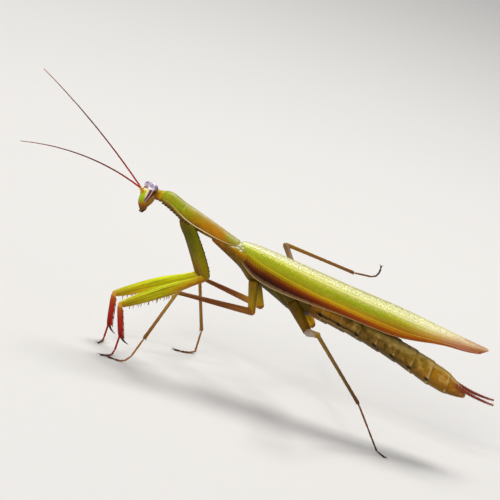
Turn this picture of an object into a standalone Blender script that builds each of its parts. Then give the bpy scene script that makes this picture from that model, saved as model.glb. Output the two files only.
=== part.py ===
"""Praying mantis: a still, life-size model with one object for each part of the body.

The mantis faces -X, its left side is -Y, and its feet stand on Z = 0. Sizes are written in
millimetres, and MM turns them into Blender's metres when a mesh is made.
"""

import math
from collections import namedtuple

import bmesh
import bpy
from mathutils import Matrix, Vector

MM = 0.001
LEFT, RIGHT = -1, 1
SIDES = {"left": LEFT, "right": RIGHT}

# Clearance between two parts that touch, and under the thin wings, and the least radius of a feeler.
GAP, WING_GAP = 0.12, 0.2
THIN = 0.27
# An edge sharper than this many degrees stays sharp, and points nearer than this are made one.
SHARP_ANGLE = 50
WELD = 0.01

# The body is laid out from a point under the thorax. This shift centres its box on the origin.
SHIFT = Vector((6.33, -3.89, 0.0))

# Feet: height of the centre line of a foot that lies on the floor, and the depth of the floor cutter.
FOOT_HEIGHT = 0.2
FLOOR_SIZE, FLOOR_DEPTH = 160.0, 8.0

# Head, measured from its centre before it tilts and turns a little toward the left.
HEAD_CENTRE = Vector((-31.6, 0.0, 32.25))
HEAD_TURN, HEAD_TILT = 14.0, -14.0
HEAD_SIDES, MOUTH_SIDES = 16, 10
# Height, half the width, and how far the face and the nape stand from the middle.
HEAD_LEVELS = (
    (-2.75, 0.75, 1.25, 0.1),
    (-2.3, 1.0, 1.45, 0.45),
    (-1.6, 1.3, 1.6, 1.0),
    (-0.8, 1.75, 1.7, 1.45),
    (0.0, 2.2, 1.65, 1.5),
    (0.9, 2.5, 1.35, 1.4),
    (1.7, 2.3, 0.9, 1.1),
    (2.1, 1.6, 0.4, 0.7),
)
MOUTH_LEVELS = ((-3.55, 0.35, 0.35, 0.3), (-3.2, 0.6, 0.75, 0.4), (-2.6, 0.85, 1.3, 0.45))
PALP_ROUTE = (
    Vector((-0.1, 0.5, -2.85)),
    Vector((-0.5, 0.85, -2.95)),
    Vector((-0.8, 0.8, -3.25)),
    Vector((-0.75, 0.6, -3.55)),
)
EYE_CENTRE = Vector((0.1, 1.9, 0.6))
EYE_RADII = Vector((1.0, 1.2, 2.15))
EYE_LEAN_BACK, EYE_LEAN_OUT = 17.0, 12.0
EYE_SEGMENTS, EYE_RINGS = 14, 9
NECK_START = Vector((0.9, 0.0, 0.6))
NECK_RADIUS = 1.0

# Antennae: a stout scape on the brow, then the thread. The left one is held out and lower. Each has
# a heading, a rise at its base and a rise at its tip.
ANTENNA_AIMS = {"left": (35, 24, -4), "right": (2, 38, 27)}
SCAPE_BASE = Vector((-1.35, 0.6, 0.35))
SCAPE_LENGTH, SCAPE_STEPS, SCAPE_EXTRA_RISE = 1.1, 2, 15
SCAPE_RADII = (0.38, 0.38, 0.3)
ANTENNA_LENGTH, ANTENNA_STEPS = 30.0, 9

# Body sections: distance along X, height of the back, height of the belly and half the width.
Section = namedtuple("Section", "x top bottom half")
PROTHORAX = (
    Section(-29.1, 33.8, 32.3, 1.1),
    Section(-28.4, 34.3, 31.6, 1.6),
    Section(-26.8, 34.3, 31.0, 1.9),
    Section(-24.2, 33.3, 29.8, 2.2),
    Section(-21.8, 32.6, 29.0, 1.8),
    Section(-17.0, 31.2, 28.0, 1.5),
    Section(-13.2, 29.9, 27.9, 1.8),
    Section(-11.5, 29.4, 28.5, 1.3),
)
MESOTHORAX = (
    Section(-16.8, 28.3, 27.6, 0.8),
    Section(-13.4, 28.9, 26.0, 1.7),
    Section(-9.8, 29.2, 24.2, 2.5),
    Section(-7.3, 28.9, 22.2, 2.8),
    Section(-4.2, 28.5, 21.9, 2.8),
)
METATHORAX = (
    Section(-4.0, 28.5, 21.8, 2.8),
    Section(-0.6, 28.0, 20.4, 2.8),
    Section(2.4, 27.4, 19.2, 2.7),
    Section(6.0, 26.4, 19.3, 2.5),
)
ABDOMEN = (
    Section(6.2, 25.8, 19.4, 2.4),
    Section(15.0, 23.2, 18.3, 2.6),
    Section(25.0, 20.7, 16.1, 2.5),
    Section(33.0, 18.6, 13.8, 2.3),
    Section(37.5, 16.9, 13.2, 1.7),
    Section(40.6, 14.6, 13.6, 0.7),
)
ABDOMEN_SEGMENTS = 9
# Each segment swells and shrinks by SEGMENT_STEP, and its two rings stand this far in from its ends.
SEGMENT_STEP, SEGMENT_END = 0.04, 0.04
BODY_SIDES = 14
PROTHORAX_RINGS, MESOTHORAX_RINGS, METATHORAX_RINGS = 15, 9, 7
# Share of a section's depth that lies below its widest line. The prothorax is a dome on a low belly.
BELLY, PROTHORAX_BELLY = 0.5, 0.28

# Wings: the folded pair makes a roof. Here bottom is the height of its lower edges.
WING_ROOF = (
    Section(-11.0, 29.5, 27.4, 1.7),
    Section(-9.2, 29.7, 25.5, 2.7),
    Section(-6.0, 29.6, 23.8, 3.3),
    Section(0.0, 29.1, 22.8, 3.6),
    Section(12.0, 27.9, 22.5, 3.6),
    Section(24.0, 26.9, 21.9, 3.4),
    Section(33.0, 25.7, 23.2, 2.7),
    Section(39.5, 24.9, 23.8, 1.4),
    Section(42.1, 24.7, 24.5, 0.5),
)
HINDWING_ROOF = (
    Section(-2.0, 27.6, 25.5, 2.2),
    Section(10.0, 26.4, 24.0, 2.6),
    Section(20.0, 25.5, 23.4, 2.5),
    Section(30.0, 24.3, 23.2, 1.9),
    Section(36.5, 23.6, 23.3, 0.9),
)
WING_THICKNESS = 0.5
WING_STEPS, WING_RIBS = 14, 6
# The left forewing lies over the right one: how far each passes the middle, from 0 to 1. The right
# one dips under it over DIP_WIDTH degrees, up to the turn DIP_END.
FOREWING_OVERLAP = 0.45
DIP_END, DIP_WIDTH, DIP_MARGIN = 75, 30, 0.03
FOREWING_EDGE, HINDWING_TOP, HINDWING_EDGE = 90, 4, 80

# Cerci: the heading and the rise at the base, and how much each changes by the tip.
CERCUS_BASE = Vector((38.0, 1.0, 15.8))
CERCUS_LENGTH, CERCUS_STEPS = 8.6, 5
CERCUS_RADIUS = 0.42
CERCUS_HEADING, CERCUS_HEADING_CHANGE = 176, -4
CERCUS_RISE, CERCUS_RISE_CHANGE = -17, 18

# Legs. A heading of 0 is straight ahead and 90 is straight out to the leg's own side. A rise is
# the slope above the horizontal. Both are in degrees.
Pair = namedtuple("Pair", "root coxa femur tibia tarsus")
PAIRS = {
    "fore": Pair(Vector((-23.7, 1.2, 30.5)), 12.85, 18.1, 6.4, (3.2, 1.2, 0.9, 0.8, 1.4)),
    "mid": Pair(Vector((-6.4, 2.0, 23.0)), 6.2, 17.0, 12.7, (4.5, 1.5, 1.1, 0.9, 1.6)),
    "hind": Pair(Vector((2.1, 2.4, 21.5)), 6.8, 20.5, 20.5, (5.2, 2.2, 1.6, 1.3, 2.0)),
}
# Each leg gives (heading, rise) for its coxa, femur and tibia. A foot on the floor gives a heading
# and a share of the slope for each tarsal segment. A raised foot gives the slopes themselves.
Leg = namedtuple("Leg", "pair side coxa femur tibia headings slopes grounded")
LEGS = {
    "fore_left": Leg(
        "fore", LEFT, (171, -50), (3, -36.4), (180, -72),
        (90, 75, 60, 50, 40), (1, 0.6, 0.2, 0, 0), True,
    ),
    "fore_right": Leg(
        "fore", RIGHT, (165, -58), (4, -33), (-175, -82),
        (-90, -90, -85, -80, -75), (1, 0.3, 0, 0, 0), True,
    ),
    "mid_left": Leg(
        "mid", LEFT, (161, -75), (28.5, 3.5), (-40, -69),
        (-8, -4, 0, 0, 0), (1, 0.75, 0.35, 0, 0), True,
    ),
    "mid_right": Leg(
        "mid", RIGHT, (168, -63), (37, -3.5), (135, -65.5),
        (-100, -50, -40, -30, -15), (1, 0.1, 0, 0, 0), True,
    ),
    "hind_left": Leg(
        "hind", LEFT, (174, -43.5), (95, 15), (-140, -40),
        (-174, -175, -176, -178, 180), (1, 1, 1, 1, 0.4), True,
    ),
    "hind_right": Leg(
        "hind", RIGHT, (175, -40), (55, 30.5), (139, -12),
        (-136, -115, -105, -95, -85), (14, 24, 40, 50, 35), False,
    ),
}

# Limb outlines: share of the length, half the depth and half the width.
FORE_COXA = ((0.0, 1.3, 0.9), (0.15, 1.4, 1.0), (0.4, 1.3, 0.9), (0.7, 1.15, 0.8), (1.0, 0.95, 0.7))
FORE_COXA_BOW = 0.3
FORE_FEMUR = (
    (0.0, 0.7, 0.65), (0.15, 0.75, 0.7), (0.3, 1.0, 0.75), (0.42, 1.28, 0.8),
    (0.65, 1.2, 0.75), (0.9, 0.85, 0.6), (1.0, 0.5, 0.45),
)
FORE_TIBIA = ((0.0, 0.4, 0.35), (0.12, 0.55, 0.42), (0.8, 0.5, 0.38), (1.0, 0.35, 0.33))
FORE_SIDES = 10

# The hook at the end of a fore tibia: shares of its length with a radius at each, and how deep its
# root is sunk in the tibia.
HOOK_LENGTH, HOOK_BEND, HOOK_SUNK = 2.8, 38.0, 0.4
HOOK_SHARES, HOOK_RADII = (0, 0.4, 0.8, 1.0), (0.32, THIN, 0.2, 0.08)
# The fore foot starts beside the hook: how far to its side, above the tip and back along the tibia.
FORE_FOOT_OUT, FORE_FOOT_UP, FORE_FOOT_BACK = 0.35, 0.2, 0.3

# Spines in two rows under a fore femur. The third is the longest, and all are sunk into the limb.
FEMUR_SPINES, FEMUR_SPINE, LONG_SPINE, LONG_SPINE_SCALE = 9, 0.95, 2, 1.25
SPINES_FROM, SPINES_SPAN, SPINE_ROW_HALF, SPINE_SUNK = 0.4, 0.5, 0.3, 0.45
SPINE_DEPTH, SPINE_DEPTH_CHANGE = 0.95, -0.35
SPINE_SCALE, SPINE_SCALE_CHANGE = 1.1, -0.3
SPINE_DOWN, SPINE_FORWARD = 0.95, 0.3
# Teeth along the side of a fore tibia that meets the femur.
TIBIA_TEETH, TIBIA_TOOTH, TOOTH_GROWTH = 8, 0.5, 0.3
TEETH_FROM, TEETH_SPAN, TOOTH_SET_BACK = 0.18, 0.78, 0.25
TOOTH_BACKWARD, TOOTH_FORWARD = 0.8, 0.6
SPINE_RADIUS, SPINE_TIP, SPINE_SIDES = 0.17, 0.03, 5

# Radii at the start, along the middle and at the end.
COXA_RADII = {"mid": (1.05, 0.9, 0.75), "hind": (1.25, 1.05, 0.85)}
FEMUR_RADII = {"mid": (0.72, 0.55, 0.36), "hind": (0.82, 0.68, 0.52)}
TIBIA_RADII = {"mid": (0.34, 0.34, 0.4), "hind": (0.42, 0.36, 0.34)}
LIMB_STEPS = 5
# A round limb's ends are domed: their share of its length, and of its radius.
DOME_LENGTH, DOME_RADIUS = 0.03, 0.7
TUBE_RESOLUTION = 2

# The foot's slope is halved this often between level and nearly upright.
SLOPE_TRIES, STEEPEST = 40, 89.0

# Colour, roughness and metallic value of each finish.
FINISHES = {
    "leaf_green": ((0.35, 0.42, 0.04), 0.4, 0.0),
    "olive": ((0.25, 0.25, 0.03), 0.45, 0.0),
    "amber": ((0.42, 0.24, 0.05), 0.45, 0.0),
    "chestnut": ((0.22, 0.08, 0.03), 0.45, 0.0),
    "crimson": ((0.45, 0.03, 0.01), 0.35, 0.0),
    "dark_brown": ((0.06, 0.02, 0.01), 0.4, 0.0),
    "eye": ((0.45, 0.38, 0.42), 0.2, 0.0),
    "wing_green": ((0.45, 0.5, 0.06), 0.3, 0.0),
    "smoky": ((0.3, 0.24, 0.14), 0.4, 0.0),
}


def clear_scene():
    for obj in list(bpy.data.objects):
        bpy.data.objects.remove(obj, do_unlink=True)


def make_finish(name):
    colour, roughness, metallic = FINISHES[name]
    finish = bpy.data.materials.new(name)
    finish.use_nodes = True
    shader = finish.node_tree.nodes["Principled BSDF"]
    shader.inputs["Base Color"].default_value = (*colour, 1.0)
    shader.inputs["Roughness"].default_value = roughness
    shader.inputs["Metallic"].default_value = metallic
    return finish


def make_collection(name):
    collection = bpy.data.collections.new(name)
    bpy.context.scene.collection.children.link(collection)
    return collection


clear_scene()
MANTIS = make_collection("praying_mantis")
CUTTERS = make_collection("cutters")
MATERIALS = {name: make_finish(name) for name in FINISHES}


# Helpers that make meshes

def finished(name, mesh, finish):
    """The part as an object of the mantis collection, shaded smooth but for its sharp edges."""
    mesh.name = name
    mesh.materials.clear()
    mesh.materials.append(MATERIALS[finish])
    mesh.shade_smooth()
    mesh.set_sharp_from_angle(angle=math.radians(SHARP_ANGLE))
    obj = bpy.data.objects.new(name, mesh)
    MANTIS.objects.link(obj)
    return obj


def helper(name, mesh):
    """A hidden object that a Boolean works with."""
    obj = bpy.data.objects.new(name, mesh)
    obj.hide_render = True
    obj.display_type = "WIRE"
    CUTTERS.objects.link(obj)
    return obj


def loft_mesh(rings, closed=True):
    """A skin over rings of points in millimetres. A closed loft has caps, an open one is a sheet."""
    bm = bmesh.new()
    rows = [[bm.verts.new((point + SHIFT) * MM) for point in ring] for ring in rings]
    count = len(rows[0])
    steps = count if closed else count - 1
    for row, following in zip(rows, rows[1:]):
        for i in range(steps):
            j = (i + 1) % count
            bm.faces.new((row[i], row[j], following[j], following[i]))
    if closed:
        bm.faces.new(rows[0])
        bm.faces.new(rows[-1])
    bmesh.ops.recalc_face_normals(bm, faces=bm.faces)
    mesh = bpy.data.meshes.new("loft")
    bm.to_mesh(mesh)
    bm.free()
    return mesh


def oval(centre, across, up, half, top, bottom, sides):
    """A ring of points: half to each side of the centre, top above it and bottom below it."""
    points = []
    for i in range(sides):
        turn = 2 * math.pi * (i + 0.5) / sides
        rise = math.sin(turn) * (top if math.sin(turn) > 0 else bottom)
        points.append(centre + across * (half * math.cos(turn)) + up * rise)
    return points


def blended(sections, x):
    """The section at x, on smooth curves through the given ones."""
    last = len(sections) - 1
    at = max(i for i in range(last) if sections[i].x <= x or i == 0)
    before, start, end, after = (sections[max(0, min(last, at + k))] for k in (-1, 0, 1, 2))
    span = end.x - start.x
    t = min(1.0, max(0.0, (x - start.x) / span))

    def curve(name):
        a, b = getattr(start, name), getattr(end, name)
        slope_a = (b - getattr(before, name)) / (end.x - before.x) * span
        slope_b = (getattr(after, name) - a) / (after.x - start.x) * span
        square, cube = t * t, t * t * t
        return (
            a * (2 * cube - 3 * square + 1)
            + slope_a * (cube - 2 * square + t)
            + b * (3 * square - 2 * cube)
            + slope_b * (cube - square)
        )

    return Section(x, curve("top"), curve("bottom"), curve("half"))


def body_ring(section, belly=BELLY, swell=1.0):
    deep = (section.top - section.bottom) * swell
    middle = (section.top + section.bottom) / 2
    centre = Vector((section.x, 0, middle + deep * (belly - 0.5)))
    across, up = Vector((0, 1, 0)), Vector((0, 0, 1))
    return oval(centre, across, up, section.half * swell, deep * (1 - belly), deep * belly, BODY_SIDES)


def spaced(sections, count):
    start, end = sections[0].x, sections[-1].x
    return [start + (end - start) * i / (count - 1) for i in range(count)]


def tube_mesh(points, radii):
    """A round tube through points, with a radius at each, as a closed mesh."""
    curve = bpy.data.curves.new("tube", "CURVE")
    curve.dimensions = "3D"
    curve.bevel_depth = MM
    curve.bevel_resolution = TUBE_RESOLUTION
    curve.use_fill_caps = True
    spline = curve.splines.new("POLY")
    spline.points.add(len(points) - 1)
    for at, point, radius in zip(spline.points, points, radii):
        at.co = (*((point + SHIFT) * MM), 1.0)
        at.radius = radius
    guide = bpy.data.objects.new("tube", curve)
    CUTTERS.objects.link(guide)
    bpy.context.view_layer.update()
    mesh = bpy.data.meshes.new_from_object(guide.evaluated_get(bpy.context.evaluated_depsgraph_get()))
    bpy.data.objects.remove(guide, do_unlink=True)
    bm = bmesh.new()
    bm.from_mesh(mesh)
    bmesh.ops.remove_doubles(bm, verts=bm.verts, dist=WELD * MM)
    bmesh.ops.recalc_face_normals(bm, faces=bm.faces)
    bm.to_mesh(mesh)
    bm.free()
    return mesh


def joined(meshes):
    """Several closed meshes in one, each still a body of its own."""
    bm = bmesh.new()
    for mesh in meshes:
        bm.from_mesh(mesh)
    mesh = bpy.data.meshes.new("joined")
    bm.to_mesh(mesh)
    bm.free()
    return mesh


def unite(obj, name, meshes):
    """Joins the meshes to the object by one Boolean."""
    modifier = obj.modifiers.new(f"join_{name}", "BOOLEAN")
    modifier.operation = "UNION"
    modifier.object = helper(f"{obj.name}_{name}", joined(meshes))


def swollen(obj, gap):
    """A copy of the object as it now is, grown by gap on every side."""
    bpy.context.view_layer.update()
    evaluated = obj.evaluated_get(bpy.context.evaluated_depsgraph_get())
    mesh = bpy.data.meshes.new_from_object(evaluated)
    copy = helper(f"{obj.name}_clearance", mesh)
    grow = copy.modifiers.new("grow", "DISPLACE")
    grow.strength = gap * MM
    grow.mid_level = 0.0
    return copy


def clear_of(obj, *neighbours, gap=GAP):
    """Cuts the object back so that it keeps a gap to each neighbour."""
    for neighbour in neighbours:
        modifier = obj.modifiers.new(f"clear_{neighbour.name}", "BOOLEAN")
        modifier.operation = "DIFFERENCE"
        modifier.object = swollen(neighbour, gap)


# Head

def head_point(point):
    """A point of the head frame, tilted, turned and placed on the body."""
    tilt = Matrix.Rotation(math.radians(HEAD_TILT), 3, "X")
    return HEAD_CENTRE + Matrix.Rotation(math.radians(HEAD_TURN), 3, "Z") @ tilt @ point


def mirrored(point, side):
    return Vector((point.x, point.y * side, point.z))


def head_rings(levels, sides):
    """A ring of points round the head at each level."""
    rings = []
    for height, half, face, nape in levels:
        centre, across, back = Vector((0, 0, height)), Vector((0, 1, 0)), Vector((1, 0, 0))
        ring = oval(centre, across, back, half, nape, face, sides)
        rings.append([head_point(point) for point in ring])
    return rings


def make_head():
    """The capsule is wide between the eyes and narrows to the mouth, and its face is nearly flat."""
    return finished("head", loft_mesh(head_rings(HEAD_LEVELS, HEAD_SIDES)), "leaf_green")


def make_eye(name, side):
    bm = bmesh.new()
    bmesh.ops.create_uvsphere(bm, u_segments=EYE_SEGMENTS, v_segments=EYE_RINGS, radius=1.0)
    lean_out = Matrix.Rotation(math.radians(-side * EYE_LEAN_OUT), 3, "X")
    lean = lean_out @ Matrix.Rotation(math.radians(EYE_LEAN_BACK), 3, "Y")
    for vert in bm.verts:
        point = Vector((vert.co.x * EYE_RADII.x, vert.co.y * EYE_RADII.y, vert.co.z * EYE_RADII.z))
        vert.co = (head_point(mirrored(EYE_CENTRE, side) + lean @ point) + SHIFT) * MM
    mesh = bpy.data.meshes.new("eye")
    bm.to_mesh(mesh)
    bm.free()
    return finished(f"eye_{name}", mesh, "eye")


def make_mouthparts():
    """Upper lip and jaws in one block, with a feeler on each side."""
    mouth = finished("mouthparts", loft_mesh(head_rings(MOUTH_LEVELS, MOUTH_SIDES)), "chestnut")
    feelers = []
    for side in SIDES.values():
        points = [head_point(mirrored(point, side)) for point in PALP_ROUTE]
        feelers.append(tube_mesh(points, [THIN] * len(points)))
    unite(mouth, "feelers", feelers)
    return mouth


def swept(start, length, steps, aim):
    """Points from start, each step in the direction that aim gives for its share of the length."""
    points = [start]
    for i in range(steps):
        points.append(points[-1] + aim((i + 0.5) / steps) * (length / steps))
    return points


def direction(side, heading, rise):
    heading, rise = math.radians(heading), math.radians(rise)
    level = math.cos(rise)
    return Vector((-level * math.cos(heading), side * level * math.sin(heading), math.sin(rise)))


def make_antenna(name, side):
    heading, rise_base, rise_tip = ANTENNA_AIMS[name]
    base = head_point(mirrored(SCAPE_BASE, side))
    scape_aim = direction(side, heading, rise_base + SCAPE_EXTRA_RISE)
    scape = swept(base, SCAPE_LENGTH, SCAPE_STEPS, lambda t: scape_aim)
    thread = swept(
        scape[-1],
        ANTENNA_LENGTH,
        ANTENNA_STEPS,
        lambda t: direction(side, heading, rise_base + (rise_tip - rise_base) * t),
    )
    radii = [*SCAPE_RADII] + [THIN] * (len(thread) - 1)
    return finished(f"antenna_{name}", tube_mesh(scape + thread[1:], radii), "chestnut")


def make_neck():
    start = head_point(NECK_START)
    end = Vector((PROTHORAX[1].x, 0, (PROTHORAX[1].top + PROTHORAX[1].bottom) / 2))
    return finished("neck", tube_mesh([start, (start + end) / 2, end], [NECK_RADIUS] * 3), "amber")


# Body and wings

def make_body(name, sections, count, finish, belly=BELLY):
    rings = [body_ring(blended(sections, x), belly) for x in spaced(sections, count)]
    return finished(name, loft_mesh(rings), finish)


def make_abdomen():
    """Each segment swells toward its rear edge, which stands over the front of the next one."""
    rings = []
    start, end = ABDOMEN[0].x, ABDOMEN[-1].x
    segment = (end - start) / ABDOMEN_SEGMENTS
    for i in range(ABDOMEN_SEGMENTS):
        for share, swell in ((SEGMENT_END, 1 - SEGMENT_STEP), (1 - SEGMENT_END, 1 + SEGMENT_STEP)):
            rings.append(body_ring(blended(ABDOMEN, start + segment * (i + share)), swell=swell))
    return finished("abdomen", loft_mesh(rings), "olive")


def wing_mesh(roof, turns, lift):
    """A sheet over the arch of the roof, between two turns from its ridge, raised by lift(turn)."""
    rings = []
    for x in spaced(roof, WING_STEPS):
        section = blended(roof, x)
        ring = []
        for i in range(WING_RIBS + 1):
            turn = math.radians(turns[0] + (turns[1] - turns[0]) * i / WING_RIBS)
            height = section.bottom + (section.top - section.bottom) * math.cos(turn)
            ring.append(Vector((x, section.half * math.sin(turn), height + lift(math.degrees(turn)))))
        rings.append(ring)
    return loft_mesh(rings, closed=False)


def make_wing(name, roof, turns, finish, lift=lambda turn: 0.0):
    mesh = wing_mesh(roof, turns, lift)
    bm = bmesh.new()
    bm.from_mesh(mesh)
    bm.normal_update()
    middle = bm.faces[:][len(bm.faces) // 2]
    if middle.normal.z < 0:
        bmesh.ops.reverse_faces(bm, faces=bm.faces)
    bm.to_mesh(mesh)
    bm.free()
    wing = finished(name, mesh, finish)
    wall = wing.modifiers.new("thickness", "SOLIDIFY")
    wall.thickness = WING_THICKNESS * MM
    wall.offset = -1.0
    return wing


def make_wings():
    """The left forewing covers the right one, which dips under it near the middle."""
    reach = math.degrees(math.asin(FOREWING_OVERLAP))
    drop = WING_THICKNESS + GAP + DIP_MARGIN

    def dip(turn):
        share = min(1.0, max(0.0, (DIP_END - turn) / DIP_WIDTH))
        return -drop * share * share * (3 - 2 * share)

    left = make_wing("forewing_left", WING_ROOF, (-FOREWING_EDGE, reach), "wing_green")
    right = make_wing("forewing_right", WING_ROOF, (-reach, FOREWING_EDGE), "wing_green", dip)
    hind = []
    for name, side in SIDES.items():
        turns = sorted((side * HINDWING_TOP, side * HINDWING_EDGE))
        hind.append(make_wing(f"hindwing_{name}", HINDWING_ROOF, turns, "smoky"))
    return left, right, hind


def make_cercus(name, side):
    def aim(t):
        heading = CERCUS_HEADING + CERCUS_HEADING_CHANGE * t
        return direction(side, heading, CERCUS_RISE + CERCUS_RISE_CHANGE * t)

    points = swept(mirrored(CERCUS_BASE, side), CERCUS_LENGTH, CERCUS_STEPS, aim)
    taper = (THIN - CERCUS_RADIUS) / CERCUS_STEPS
    radii = [CERCUS_RADIUS + taper * i for i in range(CERCUS_STEPS + 1)]
    return finished(f"cercus_{name}", tube_mesh(points, radii), "dark_brown")


# Legs

def limb_axes(start, end):
    """The limb's own upward and sideways directions."""
    along = (end - start).normalized()
    up = (Vector((0, 0, 1)) - along * along.z).normalized()
    return along, up, along.cross(up)


def flat_limb(start, end, outline, bow=0.0):
    """A limb of oval section: deep in its own upright plane and narrow across, and bowed upward."""
    along, up, across = limb_axes(start, end)
    length = (end - start).length
    rings = []
    for share, deep, half in outline:
        centre = start + along * (length * share) + up * (bow * math.sin(math.pi * share))
        rings.append(oval(centre, across, up, half, deep, deep, FORE_SIDES))
    return loft_mesh(rings)


def round_limb(start, end, radii):
    """A limb of round section with domed ends, drawn through three radii."""
    first, middle, last = radii
    points, sizes = [start], [first * DOME_RADIUS]
    for i in range(LIMB_STEPS):
        share = i / (LIMB_STEPS - 1)
        low, high, part = (first, middle, share * 2) if share < 0.5 else (middle, last, share * 2 - 1)
        points.append(start + (end - start) * (DOME_LENGTH + (1 - 2 * DOME_LENGTH) * share))
        sizes.append(low + (high - low) * part)
    points.append(end)
    sizes.append(last * DOME_RADIUS)
    return tube_mesh(points, sizes)


def spike(base, aim, length):
    """One spine, sunk a little into the limb that carries it."""
    bm = bmesh.new()
    bmesh.ops.create_cone(
        bm,
        cap_ends=True,
        segments=SPINE_SIDES,
        radius1=SPINE_RADIUS * MM,
        radius2=SPINE_TIP * MM,
        depth=length * MM,
    )
    place = Matrix.Translation((base + aim * (length / 2) + SHIFT) * MM)
    bmesh.ops.transform(bm, matrix=place @ aim.to_track_quat("Z", "Y").to_matrix().to_4x4(), verts=bm.verts)
    mesh = bpy.data.meshes.new("spike")
    bm.to_mesh(mesh)
    bm.free()
    return mesh


def femur_spines(start, end):
    """Two rows of spines under the outer half of a fore femur, which hold what the shin closes on."""
    along, up, across = limb_axes(start, end)
    spikes = []
    for i in range(FEMUR_SPINES):
        share = SPINES_FROM + SPINES_SPAN * i / (FEMUR_SPINES - 1)
        side = SPINE_ROW_HALF if i % 2 else -SPINE_ROW_HALF
        length = FEMUR_SPINE * (SPINE_SCALE + SPINE_SCALE_CHANGE * share)
        if i == LONG_SPINE:
            length *= LONG_SPINE_SCALE
        down = SPINE_DEPTH + SPINE_DEPTH_CHANGE * share
        base = start + (end - start) * share - up * down + across * side
        aim = (along * SPINE_FORWARD - up * SPINE_DOWN).normalized()
        spikes.append(spike(base, aim, length + SPINE_SUNK))
    return spikes


def tibia_teeth(start, end):
    """A comb of small teeth along the side of the shin that meets the femur."""
    along = (end - start).normalized()
    back = (Vector((1, 0, 0)) - along * along.x).normalized()
    teeth = []
    for i in range(TIBIA_TEETH):
        share = TEETH_FROM + TEETH_SPAN * i / (TIBIA_TEETH - 1)
        base = start + (end - start) * share + back * TOOTH_SET_BACK
        aim = (back * TOOTH_BACKWARD + along * TOOTH_FORWARD).normalized()
        teeth.append(spike(base, aim, TIBIA_TOOTH + TOOTH_GROWTH * share))
    return teeth


def foot_points(leg, ankle):
    """The tarsal chain. A grounded one slopes just steeply enough to end along the floor."""
    lengths = PAIRS[leg.pair].tarsus

    def chain(steep):
        points = [ankle]
        for length, heading, slope in zip(lengths, leg.headings, leg.slopes):
            rise = -steep * slope if leg.grounded else slope
            points.append(points[-1] + direction(leg.side, heading, rise) * length)
        return points

    if not leg.grounded:
        return chain(0)
    low, high = 0.0, STEEPEST
    for _ in range(SLOPE_TRIES):
        middle = (low + high) / 2
        if chain(middle)[-1].z > FOOT_HEIGHT:
            low = middle
        else:
            high = middle
    return chain(high)


def make_hook(leg, knee, ankle):
    """The long claw in which a fore tibia ends."""
    aim = direction(leg.side, leg.tibia[0], leg.tibia[1] + HOOK_BEND)
    start = ankle - (ankle - knee).normalized() * HOOK_SUNK
    return tube_mesh([start + aim * (HOOK_LENGTH * share) for share in HOOK_SHARES], HOOK_RADII)


def make_leg(name, leg, carrier):
    """Coxa, femur, tibia and tarsus, each cut back to clear the part that carries it."""
    pair = PAIRS[leg.pair]
    root = mirrored(pair.root, leg.side)
    hip = root + direction(leg.side, *leg.coxa) * pair.coxa
    knee = hip + direction(leg.side, *leg.femur) * pair.femur
    ankle = knee + direction(leg.side, *leg.tibia) * pair.tibia
    if leg.pair == "fore":
        meshes = (
            flat_limb(root, hip, FORE_COXA, FORE_COXA_BOW),
            flat_limb(hip, knee, FORE_FEMUR),
            flat_limb(knee, ankle, FORE_TIBIA),
        )
        finishes = ("leaf_green", "leaf_green", "crimson")
    else:
        meshes = (
            round_limb(root, hip, COXA_RADII[leg.pair]),
            round_limb(hip, knee, FEMUR_RADII[leg.pair]),
            round_limb(knee, ankle, TIBIA_RADII[leg.pair]),
        )
        finishes = ("olive", "chestnut", "amber")
    coxa, femur, tibia = (
        finished(f"{name}_{part}", mesh, finish)
        for part, mesh, finish in zip(("coxa", "femur", "tibia"), meshes, finishes)
    )
    if leg.pair == "fore":
        unite(femur, "spines", femur_spines(hip, knee))
        unite(tibia, "hook_and_teeth", tibia_teeth(knee, ankle) + [make_hook(leg, knee, ankle)])
        beside = Vector((0, leg.side * FORE_FOOT_OUT, FORE_FOOT_UP))
        ankle = ankle + beside - (ankle - knee).normalized() * FORE_FOOT_BACK
    points = foot_points(leg, ankle)
    tarsus = finished(f"{name}_tarsus", tube_mesh(points, [THIN] * len(points)), "chestnut")
    clear_of(coxa, carrier)
    clear_of(femur, coxa)
    clear_of(tibia, femur)
    clear_of(tarsus, tibia)
    if leg.grounded:
        flat = tarsus.modifiers.new("flat_sole", "BOOLEAN")
        flat.operation = "DIFFERENCE"
        flat.object = FLOOR
    return coxa, femur, tibia, tarsus


def make_floor_cutter():
    """A slab under Z = 0 that gives each foot its flat."""
    bm = bmesh.new()
    bmesh.ops.create_cube(bm, size=1.0)
    bmesh.ops.scale(bm, vec=Vector((FLOOR_SIZE, FLOOR_SIZE, FLOOR_DEPTH)) * MM, verts=bm.verts)
    bmesh.ops.translate(bm, vec=Vector((0, 0, -FLOOR_DEPTH / 2 * MM)), verts=bm.verts)
    mesh = bpy.data.meshes.new("floor")
    bm.to_mesh(mesh)
    bm.free()
    return helper("floor_cutter", mesh)


FLOOR = make_floor_cutter()

eyes = {name: make_eye(name, side) for name, side in SIDES.items()}
head = make_head()
clear_of(head, *eyes.values())
mouthparts = make_mouthparts()
clear_of(mouthparts, head)
for name, side in SIDES.items():
    clear_of(make_antenna(name, side), head)
prothorax = make_body("prothorax", PROTHORAX, PROTHORAX_RINGS, "leaf_green", PROTHORAX_BELLY)
clear_of(make_neck(), head, prothorax, *eyes.values())

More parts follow.
